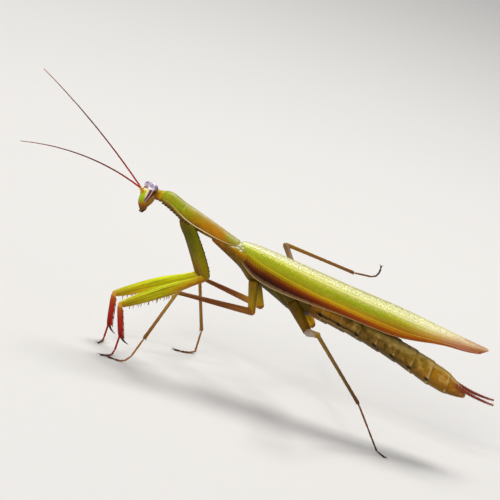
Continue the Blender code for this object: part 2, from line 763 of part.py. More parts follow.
forewing_left, forewing_right, hindwings = make_wings()
mesothorax = make_body("mesothorax", MESOTHORAX, MESOTHORAX_RINGS, "olive")
clear_of(mesothorax, prothorax)
clear_of(mesothorax, forewing_left, forewing_right, gap=WING_GAP)
metathorax = make_body("metathorax", METATHORAX, METATHORAX_RINGS, "olive")
clear_of(metathorax, mesothorax)
clear_of(metathorax, forewing_left, forewing_right, *hindwings, gap=WING_GAP)
clear_of(forewing_right, forewing_left)
abdomen = make_abdomen()
clear_of(abdomen, metathorax)
for name, side in SIDES.items():
    clear_of(make_cercus(name, side), abdomen)

CARRIERS = {"fore": prothorax, "mid": mesothorax, "hind": metathorax}
for name, leg in LEGS.items():
    make_leg(name, leg, CARRIERS[leg.pair])
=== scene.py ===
"""Praying mantis: the finished look of a still, life-size model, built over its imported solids.

Lengths in the tables are millimetres, laid out from a point under the thorax, and the mantis
faces -X with its left side toward -Y. MM turns them into Blender's metres as a piece is placed.
"""

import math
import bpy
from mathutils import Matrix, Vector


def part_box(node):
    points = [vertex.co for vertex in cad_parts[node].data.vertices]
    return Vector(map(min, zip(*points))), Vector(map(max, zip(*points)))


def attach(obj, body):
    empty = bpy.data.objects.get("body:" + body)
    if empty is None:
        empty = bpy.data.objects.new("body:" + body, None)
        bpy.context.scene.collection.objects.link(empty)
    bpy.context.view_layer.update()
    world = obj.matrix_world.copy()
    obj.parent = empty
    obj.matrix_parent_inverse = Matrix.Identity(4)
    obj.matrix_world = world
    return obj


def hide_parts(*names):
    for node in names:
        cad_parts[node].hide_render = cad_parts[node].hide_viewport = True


bl_info = {
    "name": "Praying Mantis",
    "version": (1, 0, 0),
    "blender": (4, 5, 0),
    "location": "View3D > Sidebar > Mantis",
    "description": "Builds a still praying mantis piece by piece, and the stage it stands on",
    "category": "Add Mesh",
}

from collections import namedtuple

import bmesh
import bpy
import numpy as np
from bpy.props import FloatProperty, FloatVectorProperty, PointerProperty
from mathutils import Matrix, Vector

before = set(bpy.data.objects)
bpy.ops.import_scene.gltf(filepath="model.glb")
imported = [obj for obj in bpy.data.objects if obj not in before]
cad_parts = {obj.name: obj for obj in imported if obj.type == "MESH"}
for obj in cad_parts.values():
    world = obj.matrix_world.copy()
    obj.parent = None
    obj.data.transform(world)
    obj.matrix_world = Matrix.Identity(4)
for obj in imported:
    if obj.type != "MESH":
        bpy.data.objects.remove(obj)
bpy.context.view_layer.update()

MM = 0.001
LEFT, RIGHT = -1, 1
SIDES = {"left": LEFT, "right": RIGHT}
BODY = "root"
UP = Vector((0, 0, 1))

# Body sections: distance along X, height of the back, height of the belly and half the width.
Section = namedtuple("Section", "x top bottom half")


def section_table(*rows):
    return [Section(*row) for row in rows]


PROTHORAX = section_table(
    (-29.1, 33.8, 32.3, 1.1), (-28.4, 34.3, 31.6, 1.6), (-26.8, 34.3, 31.0, 1.9),
    (-24.2, 33.3, 29.8, 2.2), (-21.8, 32.6, 29.0, 1.8), (-17.0, 31.2, 28.0, 1.5),
    (-13.2, 29.9, 27.9, 1.8), (-11.5, 29.4, 28.5, 1.3),
)
MESOTHORAX = section_table(
    (-16.8, 28.3, 27.6, 0.8), (-13.4, 28.9, 26.0, 1.7), (-9.8, 29.2, 24.2, 2.5),
    (-7.3, 28.9, 22.2, 2.8), (-4.2, 28.5, 21.9, 2.8),
)
METATHORAX = section_table(
    (-4.0, 28.5, 21.8, 2.8), (-0.6, 28.0, 20.4, 2.8), (2.4, 27.4, 19.2, 2.7), (6.0, 26.4, 19.3, 2.5),
)
ABDOMEN = section_table(
    (6.2, 25.8, 19.4, 2.4), (15.0, 23.2, 18.3, 2.6), (25.0, 20.7, 16.1, 2.5), (33.0, 18.6, 13.8, 2.3),
    (37.5, 16.9, 13.2, 1.7), (40.6, 14.6, 13.6, 0.7),
)
ABDOMEN_SEGMENTS = 9
# Along one segment of the abdomen: share of its length and size there.
SEGMENT_SWELL = ((0.02, 0.955), (0.12, 0.975), (0.5, 1.0), (0.88, 1.035), (0.96, 1.035), (0.985, 0.99))
# The small rings that round off the ends of the body's forms: how far out they stand, and their size.
END_REACH, END_SHARE = 0.105, 0.6
# Share of a section's depth that lies below its widest line.
BELLY, PROTHORAX_BELLY = 0.5, 0.28

# The folded wings make a roof. Here bottom is the height of its lower edges.
WING_ROOF = section_table(
    (-11.0, 29.5, 27.4, 1.7), (-9.2, 29.7, 25.5, 2.7), (-6.0, 29.6, 23.8, 3.3), (0.0, 29.1, 22.8, 3.6),
    (12.0, 27.9, 22.5, 3.6), (24.0, 26.9, 21.9, 3.4), (33.0, 25.7, 23.1, 2.7), (38.5, 25.05, 23.2, 1.7),
    (42.1, 24.65, 23.7, 0.9),
)
HINDWING_ROOF = section_table(
    (-2.0, 27.6, 25.5, 2.2), (10.0, 26.4, 24.0, 2.6), (20.0, 25.5, 23.4, 2.5), (30.0, 24.3, 23.2, 1.9),
    (36.5, 23.6, 23.3, 0.9),
)

# Head, measured from its centre before it tilts and turns a little toward the left.
HEAD_CENTRE = Vector((-31.6, 0.0, 32.25))
HEAD_TURN, HEAD_TILT = 14.0, -14.0
EYE_PLACE = Vector((-0.05, 1.9, 0.6))
EYE_RADII = (1.0, 1.2, 2.15)
EYE_LEAN_BACK, EYE_LEAN_OUT = 17.0, 12.0
SCAPE_BASE = Vector((-1.35, 0.6, 0.35))
SCAPE_LENGTH, FEELER_LENGTH, FEELER_STEPS = 1.1, 30.0, 120
# Heading, rise at the base and rise at the tip of each feeler.
FEELER_AIMS = {"left": (35, 24, -4), "right": (2, 38, 27)}

CERCUS_BASE = Vector((38.0, 1.0, 15.8))
CERCUS_LENGTH, CERCUS_JOINTS = 8.6, 13

# Legs. A heading of 0 is straight ahead and 90 is straight out to the leg's own side. A rise is
# the slope above the horizontal. Both are in degrees.
Pair = namedtuple("Pair", "root coxa femur tibia tarsus")
PAIRS = {
    "fore": Pair(Vector((-23.7, 1.2, 30.5)), 12.85, 18.1, 6.4, (3.2, 1.2, 0.9, 0.8, 1.4)),
    "mid": Pair(Vector((-6.4, 2.0, 23.0)), 6.2, 17.0, 12.7, (4.5, 1.5, 1.1, 0.9, 1.6)),
    "hind": Pair(Vector((2.1, 2.4, 21.5)), 6.8, 20.5, 20.5, (5.2, 2.2, 1.6, 1.3, 2.0)),
}
# Directions of the coxa, femur and tibia, then headings and slopes of the foot's five segments. On
# the floor a slope is a share of the one that brings the foot down. A raised foot gives its own.
Leg = namedtuple("Leg", "pair side coxa femur tibia headings slopes grounded")
LEGS = {
    "fore_left": Leg(
        "fore", LEFT, (171, -50), (3, -36.4), (180, -72),
        (90, 75, 60, 50, 40), (1, 0.6, 0.2, 0, 0), True,
    ),
    "fore_right": Leg(
        "fore", RIGHT, (165, -58), (4, -33), (-175, -82),
        (-90, -90, -85, -80, -75), (1, 0.3, 0, 0, 0), True,
    ),
    "mid_left": Leg(
        "mid", LEFT, (161, -75), (28.5, 3.5), (-40, -69),
        (-8, -4, 0, 0, 0), (1, 0.75, 0.35, 0, 0), True,
    ),
    "mid_right": Leg(
        "mid", RIGHT, (168, -63), (37, -3.5), (135, -65.5),
        (-100, -50, -40, -30, -15), (1, 0.1, 0, 0, 0), True,
    ),
    "hind_left": Leg(
        "hind", LEFT, (174, -43.5), (95, 15), (-140, -40),
        (-174, -175, -176, -178, 180), (1, 1, 1, 1, 0.4), True,
    ),
    "hind_right": Leg(
        "hind", RIGHT, (175, -40), (55, 30.5), (139, -12),
        (-136, -115, -105, -95, -85), (14, 24, 40, 50, 35), False,
    ),
}
FOOT_HEIGHT = 0.2
# Sizes that the rows of spines and the veins are drawn for, before the settings change them.
DRAWN_SPINE, DRAWN_VEIN = 1.5, 0.11
HOOK_LENGTH, HOOK_RADIUS, HOOK_BEND = 2.75, 0.3, 0.3
BRISTLE_ROWS, BRISTLES_ROUND = 16, 3

# Limb outlines: share of the length, half the depth and half the width.
FORE_COXA = (
    (-0.02, 0.6, 0.35), (0.03, 1.1, 0.55), (0.1, 1.36, 0.66), (0.2, 1.42, 0.86), (0.4, 1.3, 0.9),
    (0.7, 1.15, 0.8), (0.94, 1.0, 0.72), (1.0, 0.85, 0.65), (1.04, 0.45, 0.4),
)
FORE_COXA_BOW = 0.3
FORE_FEMUR = (
    (-0.02, 0.4, 0.4), (0.02, 0.7, 0.62), (0.07, 0.78, 0.7), (0.12, 0.72, 0.66), (0.2, 0.84, 0.7),
    (0.3, 1.02, 0.75), (0.42, 1.28, 0.8), (0.65, 1.2, 0.75), (0.85, 0.95, 0.64), (0.94, 0.78, 0.58),
    (1.0, 0.6, 0.52), (1.02, 0.3, 0.3),
)
FORE_TIBIA = (
    (-0.04, 0.2, 0.2), (0.0, 0.42, 0.36), (0.12, 0.56, 0.42), (0.35, 0.54, 0.4), (0.8, 0.5, 0.38),
    (1.0, 0.38, 0.34), (1.06, 0.2, 0.2),
)
COXA_RADII = {"mid": (1.05, 0.9, 0.75), "hind": (1.25, 1.05, 0.85)}
FEMUR_RADII = {"mid": (0.72, 0.55, 0.36), "hind": (0.82, 0.68, 0.52)}
TIBIA_RADII = {"mid": (0.34, 0.32, 0.36), "hind": (0.42, 0.34, 0.34)}


# The layout starts from a point under the thorax. The frame says where that point is.
def layout_shift():
    wings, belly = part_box("forewing_left"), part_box("abdomen")
    return Vector((wings[0].x / MM - WING_ROOF[0].x, (belly[0].y + belly[1].y) / 2 / MM, 0.0))


SHIFT = layout_shift()


def on_frame(point):
    """A point of the layout, in metres in the frame."""
    return (point + SHIFT) * MM


def mirrored(point, side):
    return Vector((point.x, point.y * side, point.z))


def direction(side, heading, rise):
    heading, rise = math.radians(heading), math.radians(rise)
    level = math.cos(rise)
    return Vector((-level * math.cos(heading), side * level * math.sin(heading), math.sin(rise)))


def rotation(degrees, axis):
    return Matrix.Rotation(math.radians(degrees), 4, axis)


def head_matrix():
    return Matrix.Translation(HEAD_CENTRE) @ rotation(HEAD_TURN, "Z") @ rotation(HEAD_TILT, "X")


def head_point(point):
    return head_matrix() @ point


def blended(sections, x):
    """The section at x, on smooth curves through the given ones."""
    last = len(sections) - 1
    at = max(i for i in range(last) if sections[i].x <= x or i == 0)
    before, start, end, after = (sections[max(0, min(last, at + k))] for k in (-1, 0, 1, 2))
    span = end.x - start.x
    t = min(1.0, max(0.0, (x - start.x) / span))

    def curve(name):
        a, b = getattr(start, name), getattr(end, name)
        slope_a = (b - getattr(before, name)) / (end.x - before.x) * span
        slope_b = (getattr(after, name) - a) / (after.x - start.x) * span
        square, cube = t * t, t * t * t
        return (
            a * (2 * cube - 3 * square + 1)
            + slope_a * (cube - 2 * square + t)
            + b * (3 * square - 2 * cube)
            + slope_b * (cube - square)
        )

    return Section(x, curve("top"), curve("bottom"), curve("half"))


def spread(start, end, count):
    return [start + (end - start) * i / (count - 1) for i in range(count)]


def eased(low, high, value):
    """0 below low, 1 above high and a smooth rise between them."""
    t = min(1.0, max(0.0, (value - low) / (high - low)))
    return t * t * (3 - 2 * t)


Joints = namedtuple("Joints", "root hip knee ankle foot")


def foot_points(leg, ankle):
    """The chain of the foot. A grounded one slopes just steeply enough to end along the floor."""
    lengths = PAIRS[leg.pair].tarsus

    def chain(steep):
        points = [ankle]
        for length, heading, slope in zip(lengths, leg.headings, leg.slopes):
            rise = -steep * slope if leg.grounded else slope
            points.append(points[-1] + direction(leg.side, heading, rise) * length)
        return points

    low, high = 0.0, 89.0 if leg.grounded else 0.0
    for _ in range(40):
        middle = (low + high) / 2
        if chain(middle)[-1].z > FOOT_HEIGHT:
            low = middle
        else:
            high = middle
    return chain(high)


def joints_of(name):
    leg = LEGS[name]
    pair = PAIRS[leg.pair]
    root = mirrored(pair.root, leg.side)
    hip = root + direction(leg.side, *leg.coxa) * pair.coxa
    knee = hip + direction(leg.side, *leg.femur) * pair.femur
    ankle = knee + direction(leg.side, *leg.tibia) * pair.tibia
    start = ankle
    if leg.pair == "fore":
        start = ankle + Vector((0, leg.side * 0.35, 0.2)) - (ankle - knee).normalized() * 0.3
    return Joints(root, hip, knee, ankle, foot_points(leg, start))


def upright(start, end):
    """The matrix that lays a form made along Z from start to end, its X side turned upward."""
    along = (end - start).normalized()
    up = (UP - along * along.z).normalized()
    across = along.cross(up)
    return Matrix.Translation(start) @ Matrix((up, across, along)).transposed().to_4x4()


def along_body():
    """The matrix that lays a form made along Z along the body, its X side up and its +Y side left."""
    return Matrix((UP, Vector((0, -1, 0)), Vector((1, 0, 0)))).transposed().to_4x4()


def form(name):
    """A size from the settings, in millimetres."""
    return getattr(bpy.context.scene.mantis_form, name) / MM


def tint(name):
    """A colour from the settings."""
    return tuple(getattr(bpy.context.scene.mantis_colours, name))


# Modelling tools


def fresh():
    """Object mode with nothing selected."""
    if bpy.context.mode != "OBJECT":
        bpy.ops.object.mode_set(mode="OBJECT")
    bpy.ops.object.select_all(action="DESELECT")


def only(piece):
    fresh()
    piece.select_set(True)
    bpy.context.view_layer.objects.active = piece


def editing(piece):
    only(piece)
    bpy.ops.object.mode_set(mode="EDIT")
    bpy.ops.mesh.select_mode(type="VERT")


def pick(piece, wanted):
    """Selects the points that wanted(point) names, and what lies between them."""
    mesh = bmesh.from_edit_mesh(piece.data)
    chosen = [vert for vert in mesh.verts if wanted(vert)]
    for vert in mesh.verts:
        vert.select_set(False)
    for vert in chosen:
        vert.select_set(True)
    mesh.select_flush(True)
    bmesh.update_edit_mesh(piece.data)


def added(name, add, **settings):
    """The mesh that one of Blender's operators adds at the origin."""
    fresh()
    add(location=(0, 0, 0), **settings)
    piece = bpy.context.object
    piece.name = piece.data.name = name
    return piece


def turned(piece, matrix):
    """Moves a piece within the millimetre layout, before it is placed."""
    only(piece)
    piece.matrix_world = matrix
    bpy.ops.object.transform_apply(location=True, rotation=True, scale=True)
    return piece


def placed(piece, matrix=Matrix.Identity(4)):
    """Puts a piece made in millimetres where the matrix says, with its place in its mesh."""
    return turned(piece, Matrix.Translation(SHIFT * MM) @ Matrix.Scale(MM, 4) @ matrix)


def applied(piece, kind, **settings):
    """The piece with a modifier made part of its mesh."""
    only(piece)
    modifier = piece.modifiers.new(kind, kind)
    for key, value in settings.items():
        setattr(modifier, key, value)
    bpy.ops.object.modifier_apply(modifier=modifier.name)
    return piece


def joined(name, pieces):
    fresh()
    for piece in pieces:
        piece.select_set(True)
    bpy.context.view_layer.objects.active = pieces[0]
    if len(pieces) > 1:
        bpy.ops.object.join()
    pieces[0].name = pieces[0].data.name = name
    return pieces[0]


def painted(piece, material):
    piece.data.materials.clear()
    piece.data.materials.append(material)
    return piece


def kept(piece, slot, *nodes, angle=45):
    """A finished piece: shaded, riding on the body and standing for its solids."""
    only(piece)
    bpy.ops.object.shade_smooth_by_angle(angle=math.radians(angle))
    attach(piece, BODY)
    if nodes:
        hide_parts(*nodes)


def finished(name, pieces, matrix, slot, *nodes):
    """The pieces as one, put in its place and kept."""
    kept(placed(joined(name, pieces), matrix), slot, *nodes)


def stored(piece, name, values):
    """A number at each point of the mesh, which a finish can read."""
    attribute = piece.data.attributes.get(name) or piece.data.attributes.new(name, "FLOAT", "POINT")
    attribute.data.foreach_set("value", np.asarray(values, np.float32))


def points_of(piece):
    co = np.empty(len(piece.data.vertices) * 3, np.float32)
    piece.data.vertices.foreach_get("co", co)
    return co.reshape(-1, 3).astype(float)


Ring = namedtuple("Ring", "at low high widest half side")


def oval(at, deep, half, lift=0.0, side=0.0):
    return Ring(at, lift - deep, lift + deep, lift, half, side)


def reshape(piece, old, new, sides):
    """Scales and moves the newest ring, which is selected, from one outline to the other."""
    centre = (old.widest, old.side, new.at)
    wide = new.half / old.half
    high = (new.high - new.widest) / (old.high - old.widest)
    low = (new.widest - new.low) / (old.widest - old.low)
    if abs(high - low) < 1e-4:
        bpy.ops.transform.resize(value=(high, wide, 1), center_override=centre)
    else:
        bpy.ops.transform.resize(value=(1, wide, 1), center_override=centre)
        first = len(bmesh.from_edit_mesh(piece.data).verts) - sides
        pick(piece, lambda v: v.index >= first and v.co.x > old.widest + 1e-5)
        bpy.ops.transform.resize(value=(high, 1, 1), center_override=centre)
        pick(piece, lambda v: v.index >= first and v.co.x < old.widest - 1e-5)
        bpy.ops.transform.resize(value=(low, 1, 1), center_override=centre)
        pick(piece, lambda v: v.index >= first)
    move = (new.widest - old.widest, new.side - old.side, 0)
    if any(abs(step) > 1e-6 for step in move):
        bpy.ops.transform.translate(value=move)


def grown(ring, share):
    """The ring with each of its reaches times a share."""
    low = ring.widest - (ring.widest - ring.low) * share
    high = ring.widest + (ring.high - ring.widest) * share
    return ring._replace(low=low, high=high, half=ring.half * share)


def loft(name, rings, sides=12, levels=1):
    """A closed form drawn up along Z: a disc is extruded from ring to ring, each scaled to its reach."""
    # Rounding draws a form in, so its rings are made that much larger first.
    swell = 3 / (2 + math.cos(2 * math.pi / sides))
    piece = added(name, bpy.ops.mesh.primitive_circle_add, vertices=sides, radius=1.0, fill_type="NGON")
    editing(piece)
    bpy.ops.mesh.select_all(action="SELECT")
    now = Ring(0.0, -1.0, 1.0, 0.0, 1.0, 0.0)
    for i, ring in enumerate(rings):
        new = grown(ring, swell)
        step = (0, 0, new.at - now.at)
        if i:
            bpy.ops.mesh.extrude_region_move(TRANSFORM_OT_translate={"value": step})
        else:
            bpy.ops.transform.translate(value=step)
        reshape(piece, now, new, sides)
        now = new
    bpy.ops.mesh.select_all(action="SELECT")
    bpy.ops.mesh.normals_make_consistent(inside=False)
    bpy.ops.object.mode_set(mode="OBJECT")
    applied(piece, "SUBSURF", levels=levels, render_levels=levels)
    chart(piece, rings)
    return piece


def chart(piece, rings, start=0.0, end=1.0):
    """Stores how far along the form each point lies, and how far up and across its ring."""
    co = points_of(piece)
    at = np.array([r.at for r in rings])
    order = np.argsort(at)

    def between(values):
        return np.interp(co[:, 2], at[order], np.array(values)[order])

    widest, side = between([r.widest for r in rings]), between([r.side for r in rings])
    high, low = between([r.high for r in rings]) - widest, widest - between([r.low for r in rings])
    lift = co[:, 0] - widest
    rise = np.where(lift > 0, lift / np.maximum(high, 1e-3), lift / np.maximum(low, 1e-3))
    across = (co[:, 1] - side) / np.maximum(between([r.half for r in rings]), 1e-3)
    share = (co[:, 2] - at.min()) / (at.max() - at.min())
    stored(piece, "along", start + (end - start) * np.clip(share, 0, 1))
    stored(piece, "rise", np.clip(rise, -1, 1))
    stored(piece, "across", np.clip(across, -1, 1))


def thread(name, points, radii, resolution=2):
    """A tube drawn along a curve through the points, with a radius at each, made a closed mesh."""
    fresh()
    bpy.ops.curve.primitive_nurbs_path_add(radius=1.0, location=(0, 0, 0))
    piece = bpy.context.object
    piece.name = name
    curve = piece.data
    curve.dimensions = "3D"
    curve.splines.clear()
    spline = curve.splines.new("POLY")
    spline.points.add(len(points) - 1)
    for at, point, radius in zip(spline.points, points, radii):
        at.co = (*point, 1.0)
        at.radius = radius
    curve.bevel_depth = 1.0
    curve.bevel_resolution = resolution
    curve.use_fill_caps = True
    bpy.ops.object.convert(target="MESH")
    piece = bpy.context.object
    editing(piece)
    bpy.ops.mesh.select_all(action="SELECT")
    bpy.ops.mesh.remove_doubles(threshold=0.0005)
    bpy.ops.mesh.normals_make_consistent(inside=False)
    bpy.ops.object.mode_set(mode="OBJECT")
    chart_thread(piece, points)
    return piece


def chart_thread(piece, points):
    """Stores how far along the thread each point lies."""
    co = points_of(piece)
    route = np.array([tuple(point) for point in points])
    length = np.concatenate([[0], np.cumsum(np.linalg.norm(np.diff(route, axis=0), axis=1))])
    best = np.full(len(co), 1e9)
    share = np.zeros(len(co))
    for i in range(len(route) - 1):
        step = route[i + 1] - route[i]
        t = np.clip(((co - route[i]) @ step) / (step @ step), 0, 1)
        away = np.linalg.norm(co - (route[i] + t[:, None] * step), axis=1)
        near = away < best
        best[near] = away[near]
        share[near] = (length[i] + t[near] * (length[i + 1] - length[i])) / length[-1]
    stored(piece, "along", share)
    stored(piece, "rise", np.zeros(len(co)))
    stored(piece, "across", np.zeros(len(co)))


def make_thorn(name):
    """One thorn, a millimetre long along Z and curved toward +X, to be copied."""
    rings = [
        oval(-0.12, 0.2, 0.2), oval(0.0, 0.17, 0.17), oval(0.3, 0.125, 0.125, 0.015),
        oval(0.6, 0.08, 0.08, 0.06), oval(0.85, 0.04, 0.04, 0.13), oval(1.0, 0.008, 0.008, 0.19),
    ]
    return loft(name, rings, sides=6, levels=1)


def thorns(name, places):
    """Copies of one thorn. Each place gives its base, aim, bend, length and thickness."""
    first = make_thorn(name)
    copies = []
    for base, aim, bend, length, thick in places:
        aim = aim.normalized()
        toward = bend - aim * bend.dot(aim)
        toward = toward.normalized() if toward.length > 1e-3 else aim.orthogonal().normalized()
        turn = Matrix((toward * thick, aim.cross(toward) * thick, aim * length)).transposed().to_4x4()
        copy = first.copy()
        copy.data = first.data.copy()
        copy.data.transform(Matrix.Translation(base) @ turn)
        bpy.context.collection.objects.link(copy)
        copies.append(copy)
    bpy.data.objects.remove(first, do_unlink=True)
    return joined(name, copies)


def ball(name, centre, radii, segments=20, rings=12):
    """A rounded lump, charted by how far up and across it each point lies."""
    piece = added(name, bpy.ops.mesh.primitive_uv_sphere_add, segments=segments, ring_count=rings, radius=1.0)
    co = points_of(piece)
    stored(piece, "along", (co[:, 2] + 1) / 2)
    stored(piece, "rise", co[:, 0])
    stored(piece, "across", co[:, 1])
    return turned(piece, Matrix.Translation(centre) @ Matrix.Diagonal((*radii, 1.0)))


# Finishes


def hue(code):
    """A colour written as RRGGBB, as the linear numbers that a shader takes."""
    parts = [int(code[i:i + 2], 16) / 255 for i in (0, 2, 4)]
    return tuple(p / 12.92 if p <= 0.04045 else ((p + 0.055) / 1.055) ** 2.4 for p in parts)


def shade_of(word):
    """A colour written as RRGGBB, or named as one of the settings."""
    return tint(word) if word in MantisColours.__annotations__ else hue(word)


def stops_of(text):
    """The stops of a ramp, written as places and colours or, evenly spaced, as colours alone."""
    if "," in text:
        stops = [stop.split() for stop in text.split(",")]
    else:
        words = text.split()
        stops = [(i / (len(words) - 1), word) for i, word in enumerate(words)]
    return [(float(at), shade_of(word)) for at, word in stops]


class Wire:
    """A number on its way through a finish, to be used in plain arithmetic."""

    def __init__(self, finish, socket):
        self.finish = finish
        self.socket = socket

    def __add__(self, other):
        return self.finish.maths("ADD", self, other)

    def __sub__(self, other):
        return self.finish.maths("SUBTRACT", self, other)

    def __rsub__(self, other):
        return self.finish.maths("SUBTRACT", other, self)

    def __mul__(self, other):
        return self.finish.maths("MULTIPLY", self, other)

    __radd__ = __add__
    __rmul__ = __mul__


class Finish:
    """A material in the making, built round one Principled shader."""

    def __init__(self, name, roughness=0.4, coat=0.0, coat_roughness=0.2, specular=0.13):
        self.material = bpy.data.materials.new(name)
        self.material.use_nodes = True
        self.tree = self.material.node_tree
        self.shader = self.tree.nodes["Principled BSDF"].inputs
        self.shader["Roughness"].default_value = roughness
        self.shader["Coat Weight"].default_value = coat
        self.shader["Coat Roughness"].default_value = coat_roughness
        self.shader["Specular IOR Level"].default_value = specular
        self.place = self.add("ShaderNodeTexCoord", "Object")
        self.read = {}

    def add(self, kind, output, inputs=None, **settings):
        """The wire from a new node of this kind, which is given its settings and then its inputs."""
        node = self.tree.nodes.new(kind)
        for key, value in settings.items():
            setattr(node, key, value)
        for key, value in (inputs or {}).items():
            self.feed(node.inputs[key], value)
        return Wire(self, node.outputs[output])

    def feed(self, socket, value):
        if isinstance(value, Wire):
            self.tree.links.new(value.socket, socket)
        else:
            socket.default_value = (*shade_of(value), 1.0) if isinstance(value, str) else value

    def maths(self, operation, first, second=0.0, clamp=False):
        return self.add("ShaderNodeMath", 0, {0: first, 1: second}, operation=operation, use_clamp=clamp)

    def clamped(self, value):
        return self.maths("ADD", value, 0.0, clamp=True)

    def stored(self, name):
        if name not in self.read:
            self.read[name] = self.add("ShaderNodeAttribute", "Fac", attribute_name=name)
        return self.read[name]

    def step(self, value, low, high):
        """0 where the value is below low and 1 where it is above high, with a smooth rise."""
        if low > high:
            return 1.0 - self.step(value, high, low)
        inputs = {"Value": value, "From Min": low, "From Max": high}
        return self.add("ShaderNodeMapRange", "Result", inputs, interpolation_type="SMOOTHSTEP")

    def line(self, value, middle, half):
        """1 on the middle value, fading to 0 at half to each side."""
        away = self.maths("ABSOLUTE", value - middle)
        return 1.0 - self.step(away, half * 0.35, half)

    def ramp(self, value, text):
        wire = self.add("ShaderNodeValToRGB", "Color", {"Fac": value})
        elements, stops = wire.socket.node.color_ramp.elements, stops_of(text)
        while len(elements) < len(stops):
            elements.new(1.0)
        for element, (at, colour) in zip(elements, stops):
            element.position = at
        for element, (at, colour) in zip(elements, stops):
            element.color = (*colour, 1.0)
        return wire

    def mix(self, factor, first, second):
        return self.add("ShaderNodeMix", 2, {0: factor, 6: first, 7: second}, data_type="RGBA")

    def layered(self, colour, *layers):
        """The colour with others laid over it in turn, each by its own amount."""
        for amount, over in layers:
            colour = self.mix(amount, colour, over)
        return colour

    def vector(self, x, y, z=0.0):
        return self.add("ShaderNodeCombineXYZ", 0, {0: x, 1: y, 2: z})

    def noise(self, scale, detail, place=None):
        inputs = {"Vector": place or self.place, "Scale": scale, "Detail": detail, "Roughness": 0.55}
        return self.add("ShaderNodeTexNoise", "Fac", inputs)

    def cells(self, scale, place=None, feature="F1"):
        inputs = {"Vector": place or self.place, "Scale": scale}
        return self.add("ShaderNodeTexVoronoi", "Distance", inputs, feature=feature)

    def bands(self, value, along, levels):
        """Colours that run along the form, a set for each level, blended from level to level."""
        sets = [(level, self.ramp(along, text)) for level, text in levels]
        colour = sets[0][1]
        for (upper, _), (lower, ramp) in zip(sets, sets[1:]):
            colour = self.mix(self.step(value, upper, lower), colour, ramp)
        return colour

    def done(self, colour, shade, height=None, depth=0.0, roughness=None):
        """The material, with its colour times a shade and with bumps of this depth in millimetres."""
        inputs = {0: colour, "Scale": shade}
        self.feed(self.shader["Base Color"], self.add("ShaderNodeVectorMath", 0, inputs, operation="SCALE"))
        if height:
            inputs = {"Height": height, "Distance": depth * MM, "Strength": 1.0}
            self.feed(self.shader["Normal"], self.add("ShaderNodeBump", "Normal", inputs))
        if roughness:
            self.feed(self.shader["Roughness"], self.clamped(roughness))
        return self.material


def shell(
    name, levels, mottle=0.35, speckle=0.3, streak=0.45, grain=3600, pits=0.025, roughness=0.42, coat=0.0
):
    """Horny skin: coloured in bands along the form, mottled, streaked, finely speckled and pitted."""
    finish = Finish(name, roughness, coat, 0.25)
    along, rise = finish.stored("along"), finish.stored("rise")
    clouds = finish.noise(1300, 3.0)
    dots = finish.noise(grain * 1.7, 2.0)
    wander = (clouds - 0.5) * 0.12
    levels = [(1.0, levels)] if isinstance(levels, str) else levels
    colour = finish.bands(rise + wander, finish.clamped(along + wander), levels)
    streaks = finish.noise(1.0, 2.0, finish.vector(along * 2.5, rise * 6.5, finish.stored("across") * 6.5))
    shade = 1.0 + (clouds - 0.5) * mottle + (dots - 0.5) * speckle + (streaks - 0.5) * streak * 3.0
    height = finish.cells(grain) * 0.6 + dots * 0.6 + clouds * 0.8
    return finish.done(colour, shade, height, pits, roughness + (dots - 0.5) * 0.3)


def spine_finish(name, base, tip, change=0.55):
    finish = Finish(name, 0.3, 0.15)
    dots = finish.noise(5200, 2.0)
    share = finish.step(finish.stored("along") + (dots - 0.5) * 0.2, change - 0.2, change + 0.2)
    return finish.done(finish.mix(share, base, tip), 0.85 + dots * 0.3, dots, 0.006)


# Head


def make_head():
    levels = (
        (-2.78, 0.5, 0.9, 0.05), (-2.72, 0.78, 1.25, 0.12), (-2.3, 1.0, 1.45, 0.45), (-1.6, 1.3, 1.6, 1.0),
        (-0.8, 1.75, 1.68, 1.45), (0.0, 2.2, 1.6, 1.5), (0.5, 2.4, 1.45, 1.48), (0.9, 2.5, 1.32, 1.4),
        (1.35, 2.45, 1.15, 1.28), (1.75, 2.25, 0.98, 1.1), (2.1, 1.85, 0.78, 0.9), (2.36, 1.2, 0.5, 0.6),
        (2.46, 0.6, 0.2, 0.3),
    )
    rings = [Ring(z, -face, nape, 0.0, half, 0.0) for z, half, face, nape in levels]
    capsule = loft("head_capsule", rings, sides=16, levels=2)
    head_plates(capsule)
    parts = [capsule]
    for side in SIDES.values():
        socket = added(
            "socket", bpy.ops.mesh.primitive_torus_add,
            major_radius=0.42, minor_radius=0.1, major_segments=24, minor_segments=8,
        )
        for attribute in ("along", "rise", "across"):
            stored(socket, attribute, [0.72] * len(socket.data.vertices))
        spot = Matrix.Translation(mirrored(Vector((-1.32, 0.6, 0.3)), side))
        parts.append(turned(socket, spot @ rotation(-70, "Y") @ rotation(side * 14, "X")))
    head = painted(joined("head_capsule", parts), face_finish())
    kept(placed(head, head_matrix()), "leaf_green", "head")


def head_plates(capsule):
    """Raises the shield of the face, and the two low ridges on the crown."""
    for lower, upper, half, lift in ((-2.35, -0.75, 1.0, 0.07), (1.2, 2.2, 0.55, 0.05)):
        editing(capsule)
        bpy.ops.mesh.select_mode(type="FACE")
        mesh = bmesh.from_edit_mesh(capsule.data)
        for part in mesh.faces:
            middle = part.calc_center_median()
            part.select_set(middle.x < 0 and lower < middle.z < upper and abs(middle.y) < half)
        bmesh.update_edit_mesh(capsule.data)
        bpy.ops.mesh.inset(thickness=0.07, depth=lift)
        bpy.ops.mesh.select_mode(type="VERT")
        bpy.ops.object.mode_set(mode="OBJECT")


